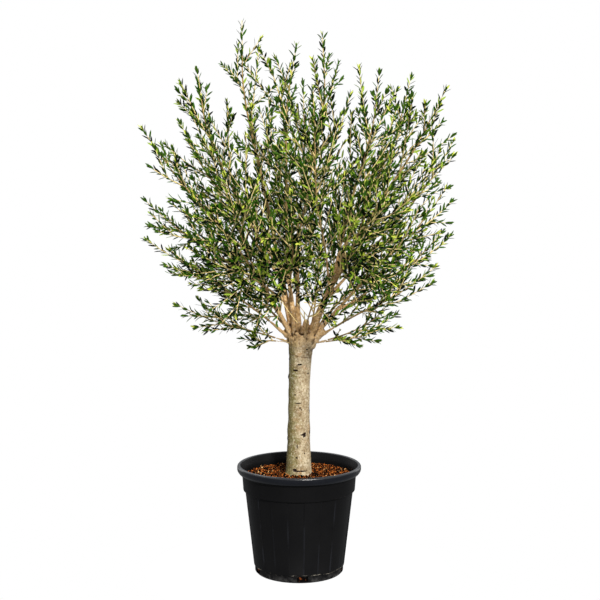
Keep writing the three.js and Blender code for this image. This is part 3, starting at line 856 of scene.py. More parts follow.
# %% Bars of wood
def add_bar(bm, points, radii, sides):
    """A closed bar along points, made by extruding its end ring again and again."""
    spots = []
    for i, (point, radius) in enumerate(zip(points, radii)):
        way = Vector(points[min(i + 1, len(points) - 1)] - points[max(i - 1, 0)]).normalized()
        spots.append(Matrix.LocRotScale(Vector(point), way.to_track_quat("Z", "Y"), Vector((radius,) * 3)))
    ring = bmesh.ops.create_circle(bm, cap_ends=True, segments=sides, radius=1, matrix=spots[0])["verts"]
    edges = {edge for vertex in ring for edge in vertex.link_edges}
    for before, after in zip(spots, spots[1:]):
        made = bmesh.ops.extrude_edge_only(bm, edges=list(edges))["geom"]
        ring = {item for item in made if isinstance(item, bmesh.types.BMVert)}
        edges = {item for item in made if isinstance(item, bmesh.types.BMEdge)}
        edges = {edge for edge in edges if ring.issuperset(edge.verts)}
        bmesh.ops.transform(bm, matrix=after @ before.inverted(), verts=list(ring))
    bmesh.ops.contextual_create(bm, geom=list(edges))


trunk_sink = 0.006  # how far the trunk's foot is sunk in the mulch
trunk_sides, limb_sides = 40, 14
trunk_heights = np.linspace(-trunk_sink, trunk_profile[-1][0], 100)
trunk_radii = np.interp(trunk_heights, *zip(*trunk_profile))
trunk_shifts = np.interp(trunk_heights, *zip(*trunk_lean))
trunk_points = np.stack([trunk_shifts, 0 * trunk_heights, soil_top + trunk_heights], axis=1)

wood_bm = bmesh.new()
add_bar(wood_bm, trunk_points, trunk_radii, trunk_sides)
knuckle_swell = 1.35
knuckle_share = 0.4
for grown in courses.values():
    foot, tip = grown.limb.radius, grown.limb.radius * limb_tip_share
    if grown.collar_end:
        covered = grown.curve.stretch(0, grown.collar_end, 4)
        swell, end = (collar_swell, 1) if grown.limb.bare else (1, thin_tip_share)
        radii = np.linspace(foot * swell, foot * end, len(covered.points))
        add_bar(wood_bm, covered.points, radii, limb_sides)
    if not grown.limb.bare:
        continue
    bare = grown.curve.stretch(grown.collar_end, grown.foliage_start)
    add_bar(wood_bm, bare.points, np.linspace(foot, tip, len(bare.points)), limb_sides)
    if grown.collar_end and grown.limb.lean < low_lean:
        spot = Matrix.Translation(grown.curve.at(grown.collar_end * knuckle_share))
        radius = foot * knuckle_swell
        bmesh.ops.create_icosphere(wood_bm, subdivisions=2, radius=radius, matrix=spot)

# %% Old arms and cut stubs in the head
# A stub's start is the height of its foot over the soil, inside the trunk.
Stub = namedtuple("Stub", "heading lean start length foot tip")
arms = [
    Stub(352, 47, 0.455, 0.115, 0.0290, 0.0140),
    Stub(182, 27, 0.445, 0.105, 0.0290, 0.0145),
    Stub(85, 35, 0.440, 0.100, 0.0300, 0.0160),
]
cut_stubs = [
    Stub(310, 15, 0.440, 0.134, 0.0250, 0.0100),
    Stub(252, 40, 0.470, 0.072, 0.0180, 0.0080),
    Stub(322, 50, 0.465, 0.070, 0.0180, 0.0080),
    Stub(30, 55, 0.470, 0.070, 0.0180, 0.0085),
    Stub(130, 50, 0.470, 0.074, 0.0180, 0.0085),
]
cut_ends = []
for stub in arms + cut_stubs:
    foot = np.array([np.interp(stub.start, *zip(*trunk_lean)), 0, soil_top + stub.start])
    tip = foot + stub.length * direction(stub.heading, stub.lean)
    add_bar(wood_bm, np.linspace(foot, tip, 5), np.linspace(stub.foot, stub.tip, 5), limb_sides)
    if stub in cut_stubs:
        cut_ends.append(tip)

# %% One skin
voxel = 0.0022
raw_mesh = bpy.data.meshes.new("raw_wood")
wood_bm.to_mesh(raw_mesh)
wood_bm.free()
raw_wood = bpy.data.objects.new("raw_wood", raw_mesh)
scene.collection.objects.link(raw_wood)
remesh = raw_wood.modifiers.new("skin", "REMESH")
remesh.mode = "VOXEL"
remesh.voxel_size = voxel
skin = bpy.data.meshes.new_from_object(raw_wood.evaluated_get(bpy.context.evaluated_depsgraph_get()))
bpy.data.objects.remove(raw_wood)

wood_bm = bmesh.new()
wood_bm.from_mesh(skin)
all_axes = {"use_axis_x": True, "use_axis_y": True, "use_axis_z": True}
smooth_head_half = 0.06  # height over which the head is smoothed more, above and below its middle
smoothings, head_smoothings = 3, 7
head_verts = [vertex for vertex in wood_bm.verts if abs(vertex.co.z - head_height) < smooth_head_half]
for verts in [wood_bm.verts] * smoothings + [head_verts] * head_smoothings:
    bmesh.ops.smooth_vert(wood_bm, verts=verts, factor=0.5, **all_axes)
wood_bm.normal_update()
skin_points = np.array([vertex.co for vertex in wood_bm.verts])
skin_normals = np.array([vertex.normal for vertex in wood_bm.verts])
print("skin:", len(skin_points), "points")

# %% Relief of the bark
# Each mark is a shallow lens: how far right of the trunk's middle it lies, its height over the soil, its
# half width and half height, and its depth, which is less than nothing for a bump.
Mark = namedtuple("Mark", "across height half_width half_height depth")
front_marks = [
    Mark(-0.001, 0.4095, 0.0085, 0.0030, 0.0016),
    Mark(-0.015, 0.3882, 0.0085, 0.0032, 0.0020),
    Mark(0.030, 0.3755, 0.0028, 0.0028, 0.0010),
    Mark(0.022, 0.4640, 0.0030, 0.0026, 0.0008),
    Mark(-0.014, 0.2990, 0.0028, 0.0026, 0.0008),
    Mark(-0.002, 0.2690, 0.0110, 0.0017, 0.0006),
    Mark(0.004, 0.2520, 0.0030, 0.0026, 0.0006),
    Mark(0.008, 0.2460, 0.0022, 0.0022, 0.0004),
    Mark(0.020, 0.1530, 0.0050, 0.0080, 0.0022),
    Mark(0.016, 0.1540, 0.0090, 0.0030, 0.0010),
    Mark(-0.006, 0.1120, 0.0020, 0.0062, 0.0010),
    Mark(-0.007, 0.0710, 0.0034, 0.0036, 0.0010),
    Mark(0.021, 0.0850, 0.0022, 0.0022, 0.0004),
    Mark(-0.014, 0.0260, 0.0066, 0.0046, 0.0030),
    Mark(0.006, 0.0219, 0.0220, 0.0024, 0.0030),
]
edge_marks = [
    Mark(-0.0385, 0.3600, 0.0060, 0.0090, -0.0025),
    Mark(-0.0400, 0.4250, 0.0040, 0.0040, -0.0010),
    Mark(-0.0415, 0.1340, 0.0050, 0.0085, -0.0015),
    Mark(0.0390, 0.2450, 0.0050, 0.0130, 0.0006),
    Mark(0.0405, 0.1600, 0.0040, 0.0060, 0.0004),
]
bumps = [
    Mark(0.046, 0.4700, 0.016, 0.012, -0.006),
    Mark(0.000, 0.4442, 0.060, 0.004, -0.0012),
]
hidden_marks = [
    Mark(across, height, 0.0050, 0.0026, 0.0015)
    for across, height in np.random.default_rng(5).uniform((-0.03, 0.05), (0.03, 0.48), (9, 2))
]


def mark_shares(mark, back=False):
    """How much of a mark each point of the skin feels: 1 at its middle, 0 at its edge and beyond it."""
    middle = np.interp(mark.height, *zip(*trunk_lean))
    across = (skin_points[:, 0] - middle - mark.across) / mark.half_width
    rise = (skin_points[:, 2] - soil_top - mark.height) / mark.half_height
    facing = skin_points[:, 1] > 0 if back else skin_points[:, 1] < 0.01
    on_trunk = skin_points[:, 2] < head_height + 0.03
    return np.clip(1 - across**2 - rise**2, 0, 1) * facing * on_trunk


def noise_at(scale):
    """Smooth noise at every point of the skin, between about -1 and 1."""
    return np.array([noise.noise(Vector(point * scale)) for point in skin_points])


head_half = 0.042  # height over which the head is rough, above and below its middle
least_rough = 0.25  # share of the trunk's relief that is left above the head, and again away from its axis
full_depth = 0.0022  # of a hollow
cut_radius = 0.014
head_bell = np.exp(-(((skin_points[:, 2] - head_height) / head_half) ** 2))
from_axis = np.linalg.norm(skin_points[:, :2] - head[:2], axis=1)
near_axis = np.clip(1.8 - from_axis / 0.06, least_rough, 1)
trunk_share = np.clip(1 - (skin_points[:, 2] - head_height) / 0.05, least_rough, 1) * near_axis
# Each noise's number says how many lumps it has to a metre, and the number before it how high they are.
ridges = noise_at((150, 150, 16))
relief = trunk_share * (0.0018 * noise_at(24) + 0.0006 * ridges) + 0.0005 * noise_at(330) + 0.0003 * ridges
relief += head_bell * trunk_share * (0.005 * noise_at(44) + 0.003 * noise_at(110))
for marks, back in ((front_marks + edge_marks + bumps, False), (hidden_marks, True)):
    for mark in marks:
        relief -= mark.depth * mark_shares(mark, back)
skin_points += skin_normals * relief[:, None]
wood_bm.verts.ensure_lookup_table()
for vertex, point in zip(wood_bm.verts, skin_points):
    vertex.co = point

# %% Hollows and cuts
# A hollow is where the skin lies under its own smoothed shape, and on the head the bark is painted darker
# there as shade. The smoothing moves every point to the middle of its neighbours, again and again.
edge_ends = np.array([[vertex.index for vertex in edge.verts] for edge in wood_bm.edges])
starts, ends = np.vstack([edge_ends, edge_ends[:, ::-1]]).T
neighbours = np.bincount(starts, minlength=len(skin_points))[:, None]
smoothed = skin_points
for _ in range(24):
    sums = [np.bincount(starts, smoothed[ends, axis], minlength=len(skin_points)) for axis in range(3)]
    smoothed = np.stack(sums, axis=1) / neighbours
depths = ((smoothed - skin_points) * skin_normals).sum(axis=1)
to_cuts = np.linalg.norm(skin_points[:, None] - np.array(cut_ends), axis=-1).min(axis=1)
bark_mesh = mesh_from(wood_bm, "bark", sharp=80)
layers = {
    # painted shade: how dark the head's hollows are coloured
    "hollow": np.clip(depths / full_depth, 0, 1) * (skin_points[:, 2] > head_height - 0.07),
    "worn": np.clip(-depths / full_depth, 0, 1) * head_bell,
    "cut": np.clip(1.4 - to_cuts / cut_radius, 0, 1),
}
for name, values in layers.items():
    keep_at_points(bark_mesh, name, values)

# %% [markdown]
# Young olive bark is smooth: cream and tan in patches, and greenish and darker on the left, partly the tint
# of algae and partly painted shade. It is browner on the head and limbs, and painted lighter there against
# the crown's shadow. Fine specks and small rusty pores break it up. The old scars are nearly black with
# ragged edges, which the mesh is too coarse for, so the finish draws them again from the same list of marks.
# The mesh's own attributes say where it is hollow, which gets painted shade, and where it is worn or freshly
# cut.


# %% Bark
bark = Finish("olive_bark", specular_ior_level=0.2)
bark_x, bark_y, bark_z = bark.axis("X"), bark.axis("Y"), bark.axis("Z")
patches = bark.noise(40, detail=6, stretch=(1, 1, 0.7), roughness=0.65)
specks = bark.noise(125, detail=5, roughness=0.8)
crust = bark.noise(95, detail=5, roughness=0.7)
pores = bark.cells(60, "Distance", stretch=(1, 1, 1.4))
ragged = bark.noise(170, detail=4, roughness=0.7) * 3.6 - 1.8


def blot(mark, beyond=0.0):
    """1 inside a mark and 0 outside it, with a ragged edge. beyond is added to the distance from it."""
    middle = np.interp(mark.height, *zip(*trunk_lean)) + mark.across
    across = (bark_x - float(middle)) * (1 / mark.half_width)
    rise = (bark_z - (soil_top + mark.height)) * (1 / mark.half_height)
    return 1 - bark.step(across * across + rise * rise + ragged + beyond, 0.9, 1.6)


front_share = 1 - bark.step(bark_y, -0.02, 0.0)
edge_forward = 0.009  # how far the edge marks lie in front of the trunk's sides, and half their width there
from_edge_middle = bark_y * (1 / edge_forward) + 1
edge_blots = sum(blot(mark, from_edge_middle * from_edge_middle) for mark in edge_marks)
scars = sum(blot(mark) for mark in front_marks) * front_share + edge_blots
ring_height = 0.442  # of the dark line round the trunk, over the soil
ring_gap = bark_z - (soil_top + ring_height) + 0.2 * bark_x + 0.006 * bark.noise(45)
ring_fade = (8e-7, 4e-6)  # squares of the distances from its middle where it begins and ends to fade
ring = (1 - bark.step(ring_gap * ring_gap, *ring_fade)) * bark.step(crust, 0.40, 0.48)
# greenish and darker towards the left: partly the tint of algae, partly painted shade
algae_and_left_shade = bark.step(bark.noise(22, detail=6, roughness=0.7) - 9 * bark_x, 0.42, 0.8)
up_tree = bark.step(bark_z + 0.06 * patches, head_height - 0.04, head_height + 0.06)
# browner on the head and limbs, and painted lighter there against the crown's shadow
limb_tone_and_light = bark.mix(patches, seen(174, 123, 70), seen(246, 204, 140))
cream_and_tan = bark.mix(bark.step(patches, 0.36, 0.6), seen(157, 136, 103), seen(199, 183, 152))
bark_layers = [
    (0.5 * bark.step(bark.noise(34, detail=4), 0.56, 0.68), seen(188, 146, 100)),  # warmer patches
    # algae tint and painted shade on the left side
    (0.8 * algae_and_left_shade * (1 - up_tree), seen(116, 112, 56)),
    # brown limb tone with painted light
    (0.85 * up_tree, limb_tone_and_light),
    (0.45 * bark.step(crust, 0.54, 0.66), seen(120, 92, 60)),
    (0.55 * bark.step(specks, 0.53, 0.58), seen(88, 68, 46)),
    (0.6 * (1 - bark.step(specks, 0.4, 0.45)), seen(230, 220, 200)),  # pale flecks between the dark ones
    (0.8 * (1 - bark.step(pores, 0.12, 0.22)) * bark.step(patches, 0.46, 0.52), seen(118, 74, 44)),
    (0.75 * bark.attribute("cut") * bark.step(crust, 0.4, 0.5), seen(220, 184, 134)),
    (0.4 * bark.attribute("worn"), seen(210, 182, 138)),
    # painted shade in the hollows of the head
    (0.95 * bark.attribute("hollow"), seen(48, 30, 18)),
    (0.8 * ring * front_share, seen(92, 64, 40)),
    (scars, seen(30, 18, 12)),
]
bark.set(base_color=bark.lay_over(cream_and_tan, bark_layers), roughness=0.86)
bark.bump(crust + specks, distance=0.0012, strength=0.7)
limb_nodes = ["limb_" + grown.limb.name for grown in courses.values() if grown.limb.bare]
add_piece("bark", bark_mesh, [bark], ["trunk", *limb_nodes])

# %% [markdown]
# ## Space for the foliage
# A mass of foliage owns the points that are nearer to its own leader than to any other, inside the crown's
# outline and clear of the wood. Testing one point at a time would be slow, so points are tested as arrays.

# %% Leaders and wood as lines
line_points = 9
leaders = []
leader_lines = []
wood_lines = [np.linspace((0, 0, soil_top), collar_foot, line_points)]
wood_radii = [trunk_profile[0][1]]
for grown in courses.values():
    leader = grown.curve.stretch(grown.foliage_start, 1)
    spaced = leader.at(np.linspace(0, 1, line_points))
    leaders.append(leader)
    leader_lines.append(np.vstack([spaced, spaced[-1] + leader.tangent(1) * spray_length * grown.size]))
    wood_lines.append(grown.curve.at(np.linspace(0, grown.foliage_start, line_points)))
    wood_radii.append(grown.limb.radius * collar_swell)
leader_lines, wood_lines, wood_radii = map(np.array, (leader_lines, wood_lines, wood_radii))


def distances(points, lines):
    """From each point to each line: the distance to the line's nearest segment."""
    starts = lines[:, :-1]
    ways = lines[:, 1:] - starts
    away = points[:, None, None] - starts
    shares = np.clip((away * ways).sum(-1) / (ways**2).sum(-1), 0, 1)
    return np.linalg.norm(away - shares[..., None] * ways, axis=-1).min(-1)


def in_space(points, number, margin=clearance, room=0.0):
    """Which of the points a mass may use. number is the mass's place in the list of leaders."""
    away = points - head
    reaches = np.linalg.norm(away, axis=1)
    leans = np.degrees(np.arccos(away[:, 2] / reaches))
    inside = reaches + room < np.interp(leans, outline_leans, outline_reaches)
    near = distances(points, leader_lines)
    others = np.delete(near, number, axis=1).min(axis=1)
    clear = (distances(points, wood_lines) > wood_radii + margin).all(axis=1)
    return inside & (leans < outline_leans[-1]) & (others >= near[:, number] + 2 * margin) & clear


def in_point(points, number, room):
    """Which of the points a mass's end reaches: it reaches less far at an angle to its own direction."""
    limb = limbs[number]
    away = points - head
    reaches = np.linalg.norm(away, axis=1)
    angles = np.arccos(np.clip(away @ direction(limb.heading, limb.lean) / reaches, -1, 1))
    return reaches + room < limb.reach * (1 - narrowing_of.get(limb.name, narrowing) * angles)


# %% [markdown]
# ## Shoots and sprays
# First come the shoots and sprays that the solids have, by the same rule and the same draws, where each
# spray is one big leaf. A spray is a side twig here. Then come finer shoots, which the solids are too
# coarse for: they leave every stem at a narrow angle and run on nearly straight, as an olive's do, and
# their leafy ends break up the crown's outline. Each one is tried at random and kept only where it stays
# clear of the others, which spreads them evenly and leaves the small gaps that the sky shows through.

# %% Shoots and sprays
Stem = namedtuple("Stem", "curve foot_radius tip_radius kind")


def place_spray(root, axis, facing, number, size, middles):
    """A straight line for a fine twig, if its outline keeps to its space and apart from the others."""
    length = spray_length * size
    across = unit(np.cross(axis, facing))
    middle = root + axis * length * spray_widest
    if middles and np.linalg.norm(np.array(middles) - middle, axis=1).min() < spray_apart * size:
        return None
    half_width = across * spray_width * size / 2
    if not in_space(np.array([root + axis * length, middle + half_width, middle - half_width]), number).all():
        return None
    middles.append(middle)
    return root, axis, length


def first_fit(turn, make):
    """The first thing made, at turns of a golden angle, that finds room."""
    for i in range(tries):
        made = make(turn + golden_angle * i)
        if made is not None:
            return made
    return None


def sprays_along(curve, number, size, middles, first_turn):
    """The sprays of one stem: one at its tip, and then as many along it as find room."""
    end = curve.tangent(1)
    made = [place_spray(curve.at(1) - end * tip_sunk, end, square_to(end, first_turn), number, size, middles)]
    count = math.floor(curve.length * (1 - bare_foot) / (spray_spacing * size) + 0.5)
    for node in range(count):
        share = bare_foot + (1 - bare_foot) * (node + 0.4) / count
        root, tangent = curve.at(share), curve.tangent(share)
        roll = spray_roll if node % 2 else -spray_roll

        def spray_at(turn):
            axis = turned(tangent, square_to(tangent, turn), spray_angle)
            return place_spray(root, axis, turned(tangent, axis, roll), number, size, middles)

        made.append(first_fit(first_turn + golden_angle * node, spray_at))
    return [spray for spray in made if spray is not None]


def grow_shoot(leader, number, size, share, turn, vigour):
    """A side shoot that bends upwards until it is full length or out of its space."""
    tangent = leader.tangent(share)
    angle = shoot_angle_low + (shoot_angle_high - shoot_angle_low) * share
    heading = turned(tangent, square_to(tangent, turn), angle)
    left = leader.length * (1 - share)
    step = (shoot_length_least * size + left * shoot_length_share * vigour) / shoot_steps
    points = [leader.at(share)]
    for _ in range(shoot_steps):
        heading = unit(heading + up * shoot_lift / shoot_steps)
        after = points[-1] + heading * step
        if not in_space(after[None], number, clearance + shoot_foot_radius, spray_length * size * 0.8)[0]:
            break
        points.append(after)
    return None if (len(points) - 1) * step < shoot_shortest * size else Curve(points)


# %% Finer shoots
fine_tries = 600  # for each mass of foliage
low_fine_tries = 90  # for a mass that leans more than low_lean
fine_distances = (0.22, 0.36, 0.95)  # from the head
fine_apart = (0.08, 0.023, 0.048)  # at those distances, from its outer part to every other stem
fine_rooted = 0.4  # share of it that may be nearer, as it is close to the stem that it leaves
fine_roots = (0.05, 0.92)  # shares of a stem's length
fine_angles = (20, 48)
fine_lengths = (0.1, 0.34)
fine_least = 0.08
fine_rooms = (0.0, 0.26)  # how far under its mass's end its tip stays
fine_lift = 0.3
fine_steps = 12
fine_free, fine_fewest = 2, 4  # first steps that may cross any space, and the fewest steps worth keeping
twiggy_from = 0.65  # share of a bare limb beyond which finer shoots leave it


def finer_shoot(parent, number, stems_points, draw_fine):
    """A nearly straight shoot from somewhere on a stem, cut off where it would leave its space."""
    share = draw_fine.uniform(*fine_roots)
    tangent = parent.tangent(share)
    heading = turned(tangent, square_to(tangent, draw_fine.uniform(0, 360)), draw_fine.uniform(*fine_angles))
    steps = unit(heading + np.linspace(0, fine_lift, fine_steps)[:, None] * up)
    steps *= draw_fine.uniform(*fine_lengths) / fine_steps
    points = parent.at(share) + np.cumsum(steps, axis=0)
    fits = in_space(points, number) & in_point(points, number, draw_fine.uniform(*fine_rooms))
    fits[:fine_free] = True
    kept = fine_steps if fits.all() else int(np.argmin(fits))
    points = np.vstack([parent.at(share), points[:kept]])
    if kept < fine_fewest or np.linalg.norm(points[-1] - points[0]) < fine_least:
        return None
    outer = points[round(fine_rooted * len(points)):]
    apart = np.linalg.norm(outer[:, None] - stems_points, axis=-1).min()
    needed = np.interp(np.linalg.norm(points[-1] - head), fine_distances, fine_apart)
    return Curve(points, cuts=1) if apart > needed else None


def points_on(curve, pitch=0.02):
    """Points about a pitch apart along a curve."""
    return curve.at(np.linspace(0, 1, max(2, round(curve.length / pitch))))


def finer_shoots(number, grown, stems):
    """Finer shoots on the upper part of a limb, on all stems of its mass, and then on each other."""
    draw_fine = np.random.default_rng(700 + number)
    stems = list(stems)
    stems_points = np.vstack([points_on(stem.curve) for stem in stems])
    if grown.limb.bare:
        bare_share = grown.foliage_start - grown.collar_end
        upper_limb = grown.curve.stretch(grown.collar_end + twiggy_from * bare_share, grown.foliage_start)
        stems.append(Stem(upper_limb, 0, 0, "limb"))
    made = []
    for _ in range(low_fine_tries if grown.limb.lean > low_lean else fine_tries):
        lengths = np.array([stem.curve.length for stem in stems])
        parent = stems[draw_fine.choice(len(stems), p=lengths / lengths.sum())]
        curve = finer_shoot(parent.curve, number, stems_points, draw_fine)
        if curve is None:
            continue
        stem = Stem(curve, *stem_radii["fine"], "fine")
        made.append(stem)
        stems.append(stem)
        stems_points = np.vstack([stems_points, points_on(curve)])
    return made


# %% Masses
def grow_mass(number, grown):
    """The stems of one mass: its leader, its shoots, their sprays and the finer shoots on all of them."""
    draw_next = seeded_random(101 + number)
    leader, size, middles = leaders[number], grown.size, []
    foot_radius = grown.limb.radius * (limb_tip_share if grown.limb.bare else thin_tip_share)
    stems = [Stem(leader, foot_radius, leader_tip_radius, "leader")]
    sprays = sprays_along(leader, number, size, middles, 360 * draw_next())
    count = low_shoot_count if grown.limb.lean > low_lean else shoot_count
    for i in range(count):
        share = shoot_first + (shoot_last - shoot_first) * (i + shoot_share_scatter * draw_next()) / count
        vigour = shoot_vigour_least + shoot_vigour_range * draw_next()
        first_turn = golden_angle * i + shoot_turn_scatter * draw_next()
        shoot = first_fit(first_turn, lambda turn: grow_shoot(leader, number, size, share, turn, vigour))
        if shoot is None:
            continue
        stems.append(Stem(shoot, *stem_radii["shoot"], "shoot"))
        sprays += sprays_along(shoot, number, size, middles, 360 * draw_next())
    for root, axis, length in sprays:
        ends = root + axis * length * np.linspace(spray_least, spray_most, 8)[:, None]
        fitting = ends[in_point(ends, number, 0)]
        tip = fitting[-1] if len(fitting) else ends[0]
        bend = (draw_next() - spray_droop) * spray_bend * length * up
        twig = Curve([root, (root + tip) / 2, tip + bend], cuts=2)
        stems.append(Stem(twig, *stem_radii["spray"], "spray"))
    return stems + finer_shoots(number, grown, stems)


masses = {name: grow_mass(number, grown) for number, (name, grown) in enumerate(courses.items())}
kinds = [stem.kind for stems in masses.values() for stem in stems]
print({kind: kinds.count(kind) for kind in ("leader", "shoot", "spray", "fine")})
print(round(sum(stem.curve.length for stems in masses.values() for stem in stems)), "m of stems")

# %% [markdown]
# ## Leaves
# An olive leaf is a slim blade, folded a little along its midrib and curling back at the tip. One leaf is
# 24 triangles in its own outline: two skins that meet at the rim, so that its underside can have its own
# colour. Its shape is a small table of stations, and all leaves of a part of the crown are built from
# arrays in one go. Deep, plain and fresh greens are dealt out leaf by leaf. The deep green is darkened
# nearly to black as painted shade, and there are more deep leaves in the heart of the crown and more fresh
# ones in the outer crown, which paints shade inside it and light outside it. The youngest leaves at the
# tips are yellow-green. A small window over the head stays free, because the limbs' feet show there.

# %% Leaf tones
leaf_gloss = 0.06
leaf_tones = [
    # painted shade: the deep green is darkened nearly to black
    plain_finish("leaf_deep", (5, 17, 2), 0.5, leaf_gloss),
    plain_finish("leaf_green", (50, 93, 13), 0.5, leaf_gloss),
    plain_finish("leaf_fresh", (146, 172, 60), 0.5, leaf_gloss),
    plain_finish("leaf_young", (196, 206, 84), 0.5, leaf_gloss),
    plain_finish("leaf_underside", (62, 96, 26), 0.65, leaf_gloss),
]
deep_and_shaded, green, fresh, young, underside = range(len(leaf_tones))

# %% One leaf's stations
leaf_length = 0.032
leaf_width = 0.0081
leaf_stations = [(0.1, 0.2), (0.4, 0.5), (0.74, 0.4)]  # share of the length, and of the width on each side
leaf_thick = 0.0005
station_corners = 4
corners = [(0, 0, 0)]
for share, half in leaf_stations:
    corners += [(share, -half, 0), (share, 0, 0), (share, half, 0), (share, 0, 1)]
corners.append((1, 0, 0))
corner_along, corner_across, corner_under = np.array(corners).T
leaf_tip = len(corners) - 1


def leaf_side(middle, left, right):
    """The faces of one skin. middle is the midrib's corner at the first station, on the top or underneath."""
    faces = [(0, right, middle), (0, middle, left)]
    for _ in leaf_stations[1:]:
        before = middle, left, right
        middle, left, right = (corner + station_corners for corner in before)
        faces += [(before[0], before[2], right, middle), (before[1], before[0], middle, left)]
    return faces + [(middle, right, leaf_tip), (left, middle, leaf_tip)]


leaf_faces = leaf_side(2, 1, 3) + leaf_side(4, 3, 1)
print("one leaf:", len(corners), "corners and", len(leaf_faces), "faces")

# %% Leaves on a stem
Leaves = namedtuple("Leaves", "roots axes normals lengths tones")
leaf_gap = {"leader": 0.020, "shoot": 0.017, "spray": 0.0155, "fine": 0.0155}
leaf_from = {"leader": 0.35, "shoot": 0.15, "spray": 0.1, "fine": 0.15}
leafless = 0.125  # distance from the head
window_half, window_top = 0.075, 0.155  # of the leafless window, beside and over the head's middle
leaf_angle, leaf_angle_spread = 35, 8  # degrees from the stem
young_angle, young_angle_spread = 17, 6
leaf_turn_spread, leaf_roll_spread = 16, 30
leaf_length_shares = (0.78, 1.12)
leaf_width_shares = (0.85, 1.15)
leaf_folds = (0.05, 0.4)  # how far its sides rise, as a share of their width
leaf_curl, leaf_curl_spread = 0.03, 0.04  # how far its tip bends down, as a share of its length
young_length_share = 0.78
young_pairs = 2  # stand close together and upright at the tip
young_gap = 0.006
young_shares = {green: 0.1, fresh: 0.25, young: 0.65}
# more deep leaves in the heart and more fresh ones outside: painted shade inside, painted light outside
fresh_from = 0.7  # distance from the head beyond which more leaves are fresh
inner_shares_with_shade = [0.60, 0.19, 0.21]  # deep, green and fresh
outer_shares_with_light = [0.46, 0.22, 0.32]
leaf_draw = np.random.default_rng(31)


def leaves_on(stem, number):
    """Opposite pairs along a stem, close together at its tip. A leaf outside its space is left out."""
    curve, kind = stem.curve, stem.kind
    first = leaf_from[kind]
    pairs = max(2, round(curve.length * (1 - first) / leaf_gap[kind]))
    along = first + (1 - first) * (np.arange(pairs) + 0.3) / pairs
    along = np.append(along, 1 - young_gap / curve.length * np.arange(young_pairs)[::-1])
    shares = np.repeat(along, 2)
    count = len(shares)
    tangents = curve.tangent(shares[:, None])[:, 0]
    turns = leaf_draw.uniform(0, 360) + 90 * (np.arange(count) // 2) + 180 * (np.arange(count) % 2)
    turns += leaf_draw.normal(0, leaf_turn_spread, count)
    angles = leaf_draw.normal(leaf_angle, leaf_angle_spread, count)
    angles[-2 * young_pairs:] = leaf_draw.normal(young_angle, young_angle_spread, 2 * young_pairs)
    rolls = leaf_draw.normal(0, leaf_roll_spread, count)
    axes, normals = [], []
    for tangent, turn, angle, roll in zip(tangents, turns, angles, rolls):
        axis = turned(tangent, square_to(tangent, turn), angle)
        axes.append(axis)
        normals.append(turned(unit(tangent - axis * np.dot(tangent, axis)), axis, roll))
    lengths = leaf_length * leaf_draw.uniform(*leaf_length_shares, count)
    lengths[-2 * young_pairs:] *= young_length_share
    roots, axes, normals = curve.at(shares), np.array(axes), np.array(normals)
    # painted shade in the heart of the crown and painted light on its outside, by the share of each tone
    outer = np.linalg.norm(curve.at(1) - head) > fresh_from
    tones = leaf_draw.choice([deep_and_shaded, green, fresh], count, p=outer_shares_with_light if outer else inner_shares_with_shade)
    tones[-2 * young_pairs:] = leaf_draw.choice(list(young_shares), p=list(young_shares.values()))
    tips = roots + axes * lengths[:, None]
    kept = in_space(tips, number) & in_space((roots + tips) / 2, number)
    kept &= np.linalg.norm(tips - head, axis=1) > leafless
    kept &= (abs(tips[:, 0] - head[0]) > window_half) | (tips[:, 2] > head_height + window_top)
    return Leaves(roots[kept], axes[kept], normals[kept], lengths[kept], tones[kept])


def leaf_mesh(name, leaves):
    """All of these leaves as one mesh, with the number of each face's tone."""
    count = len(leaves.lengths)
    lengths = leaves.lengths[:, None]
    widths = leaf_width * leaf_draw.uniform(*leaf_width_shares, (count, 1)) * (lengths / leaf_length) ** 0.5
    folds = leaf_draw.uniform(*leaf_folds, (count, 1))
    curls = leaf_draw.normal(leaf_curl, leaf_curl_spread, (count, 1))
    across = unit(np.cross(leaves.axes, leaves.normals))
    out = folds * abs(corner_across) * widths - curls * lengths * corner_along**2 - corner_under * leaf_thick
    points = leaves.roots[:, None] + leaves.axes[:, None] * (corner_along * lengths)[..., None]
    points += across[:, None] * (corner_across * widths)[..., None]
    points += leaves.normals[:, None] * out[..., None]
    starts = range(0, count * len(corners), len(corners))
    faces = [[corner + start for corner in face] for start in starts for face in leaf_faces]
    half = len(leaf_faces) // 2
    numbers = np.hstack([np.repeat(leaves.tones[:, None], half, axis=1), np.full((count, half), underside)])
    return mesh_of(name, points, faces), numbers.reshape(-1)


# %% Twig tones
twig_tones = [
    plain_finish("twig_old", (172, 144, 96), 0.85, 0.14),
    plain_finish("twig_young", (244, 220, 152), 0.75, 0.14),
]


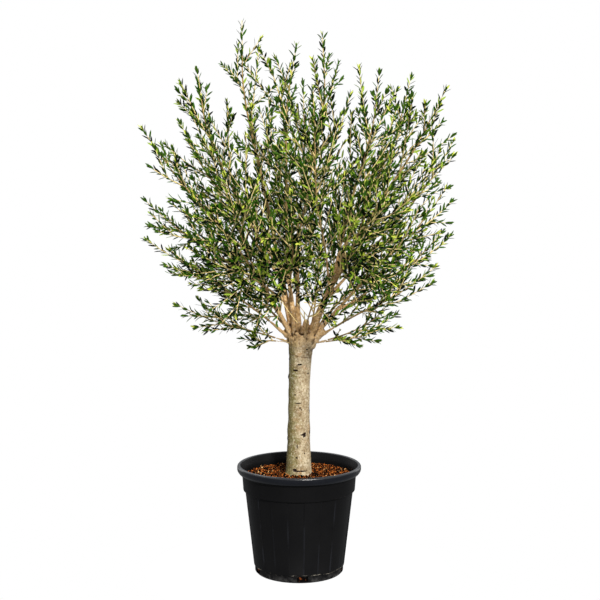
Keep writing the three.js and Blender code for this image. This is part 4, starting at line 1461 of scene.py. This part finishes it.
def tube(stem, sides):
    """A stem's corners and faces: rings along its curve, closed at both ends."""
    points = stem.curve.points
    tangents = unit(np.gradient(points, axis=0))
    other = np.array([1.0, 0, 0]) if abs(tangents[0][2]) > 0.9 else up
    side = unit(np.cross(tangents, other))
    rise = np.cross(side, tangents)
    angles = 2 * np.pi * np.arange(sides) / sides
    radii = np.linspace(stem.foot_radius, stem.tip_radius, len(points))[:, None, None]
    round_ring = np.cos(angles)[:, None] * side[:, None] - np.sin(angles)[:, None] * rise[:, None]
    rings = points[:, None] + radii * round_ring
    faces = []
    for ring in range(len(points) - 1):
        for corner in range(sides):
            after = (corner + 1) % sides
            here, there = ring * sides, (ring + 1) * sides
            faces.append((here + corner, here + after, there + after, there + corner))
    faces.append(tuple(range(sides))[::-1])
    faces.append(tuple(range((len(points) - 1) * sides, len(points) * sides)))
    return rings.reshape(-1, 3), faces


# %% Foliage, one part of the crown at a time
crown_parts = {
    "left": ("left", "inner_left"),
    "right": ("right", "inner_right"),
    "front": ("front", "centre"),
    "back": ("back",),
}
stem_sides = {"leader": 8, "shoot": 5, "spray": 4, "fine": 4}
total_leaves = 0
for part, beginnings in crown_parts.items():
    here = [(number, name) for number, name in enumerate(masses) if name.startswith(beginnings)]
    hidden = ["foliage_" + name for number, name in here]
    leaf_sets = []
    twig_points, twig_faces, twig_numbers = [], [], []
    start = 0
    for number, name in here:
        for stem in masses[name]:
            leaf_sets.append(leaves_on(stem, number))
            points, faces = tube(stem, stem_sides[stem.kind])
            twig_points.append(points)
            twig_faces += [tuple(corner + start for corner in face) for face in faces]
            twig_numbers += [0 if stem.kind == "leader" else 1] * len(faces)
            start += len(points)
    leaves = Leaves(*(np.concatenate(parts) for parts in zip(*leaf_sets)))
    total_leaves += len(leaves.lengths)
    mesh, numbers = leaf_mesh("leaves_" + part, leaves)
    add_piece(mesh.name, mesh, leaf_tones, hidden, numbers)
    mesh = mesh_of("twigs_" + part, np.vstack(twig_points), twig_faces)
    mesh.polygons.foreach_set("use_smooth", np.ones(len(twig_faces), bool))
    add_piece(mesh.name, mesh, twig_tones, hidden, twig_numbers)
print(total_leaves, "leaves")
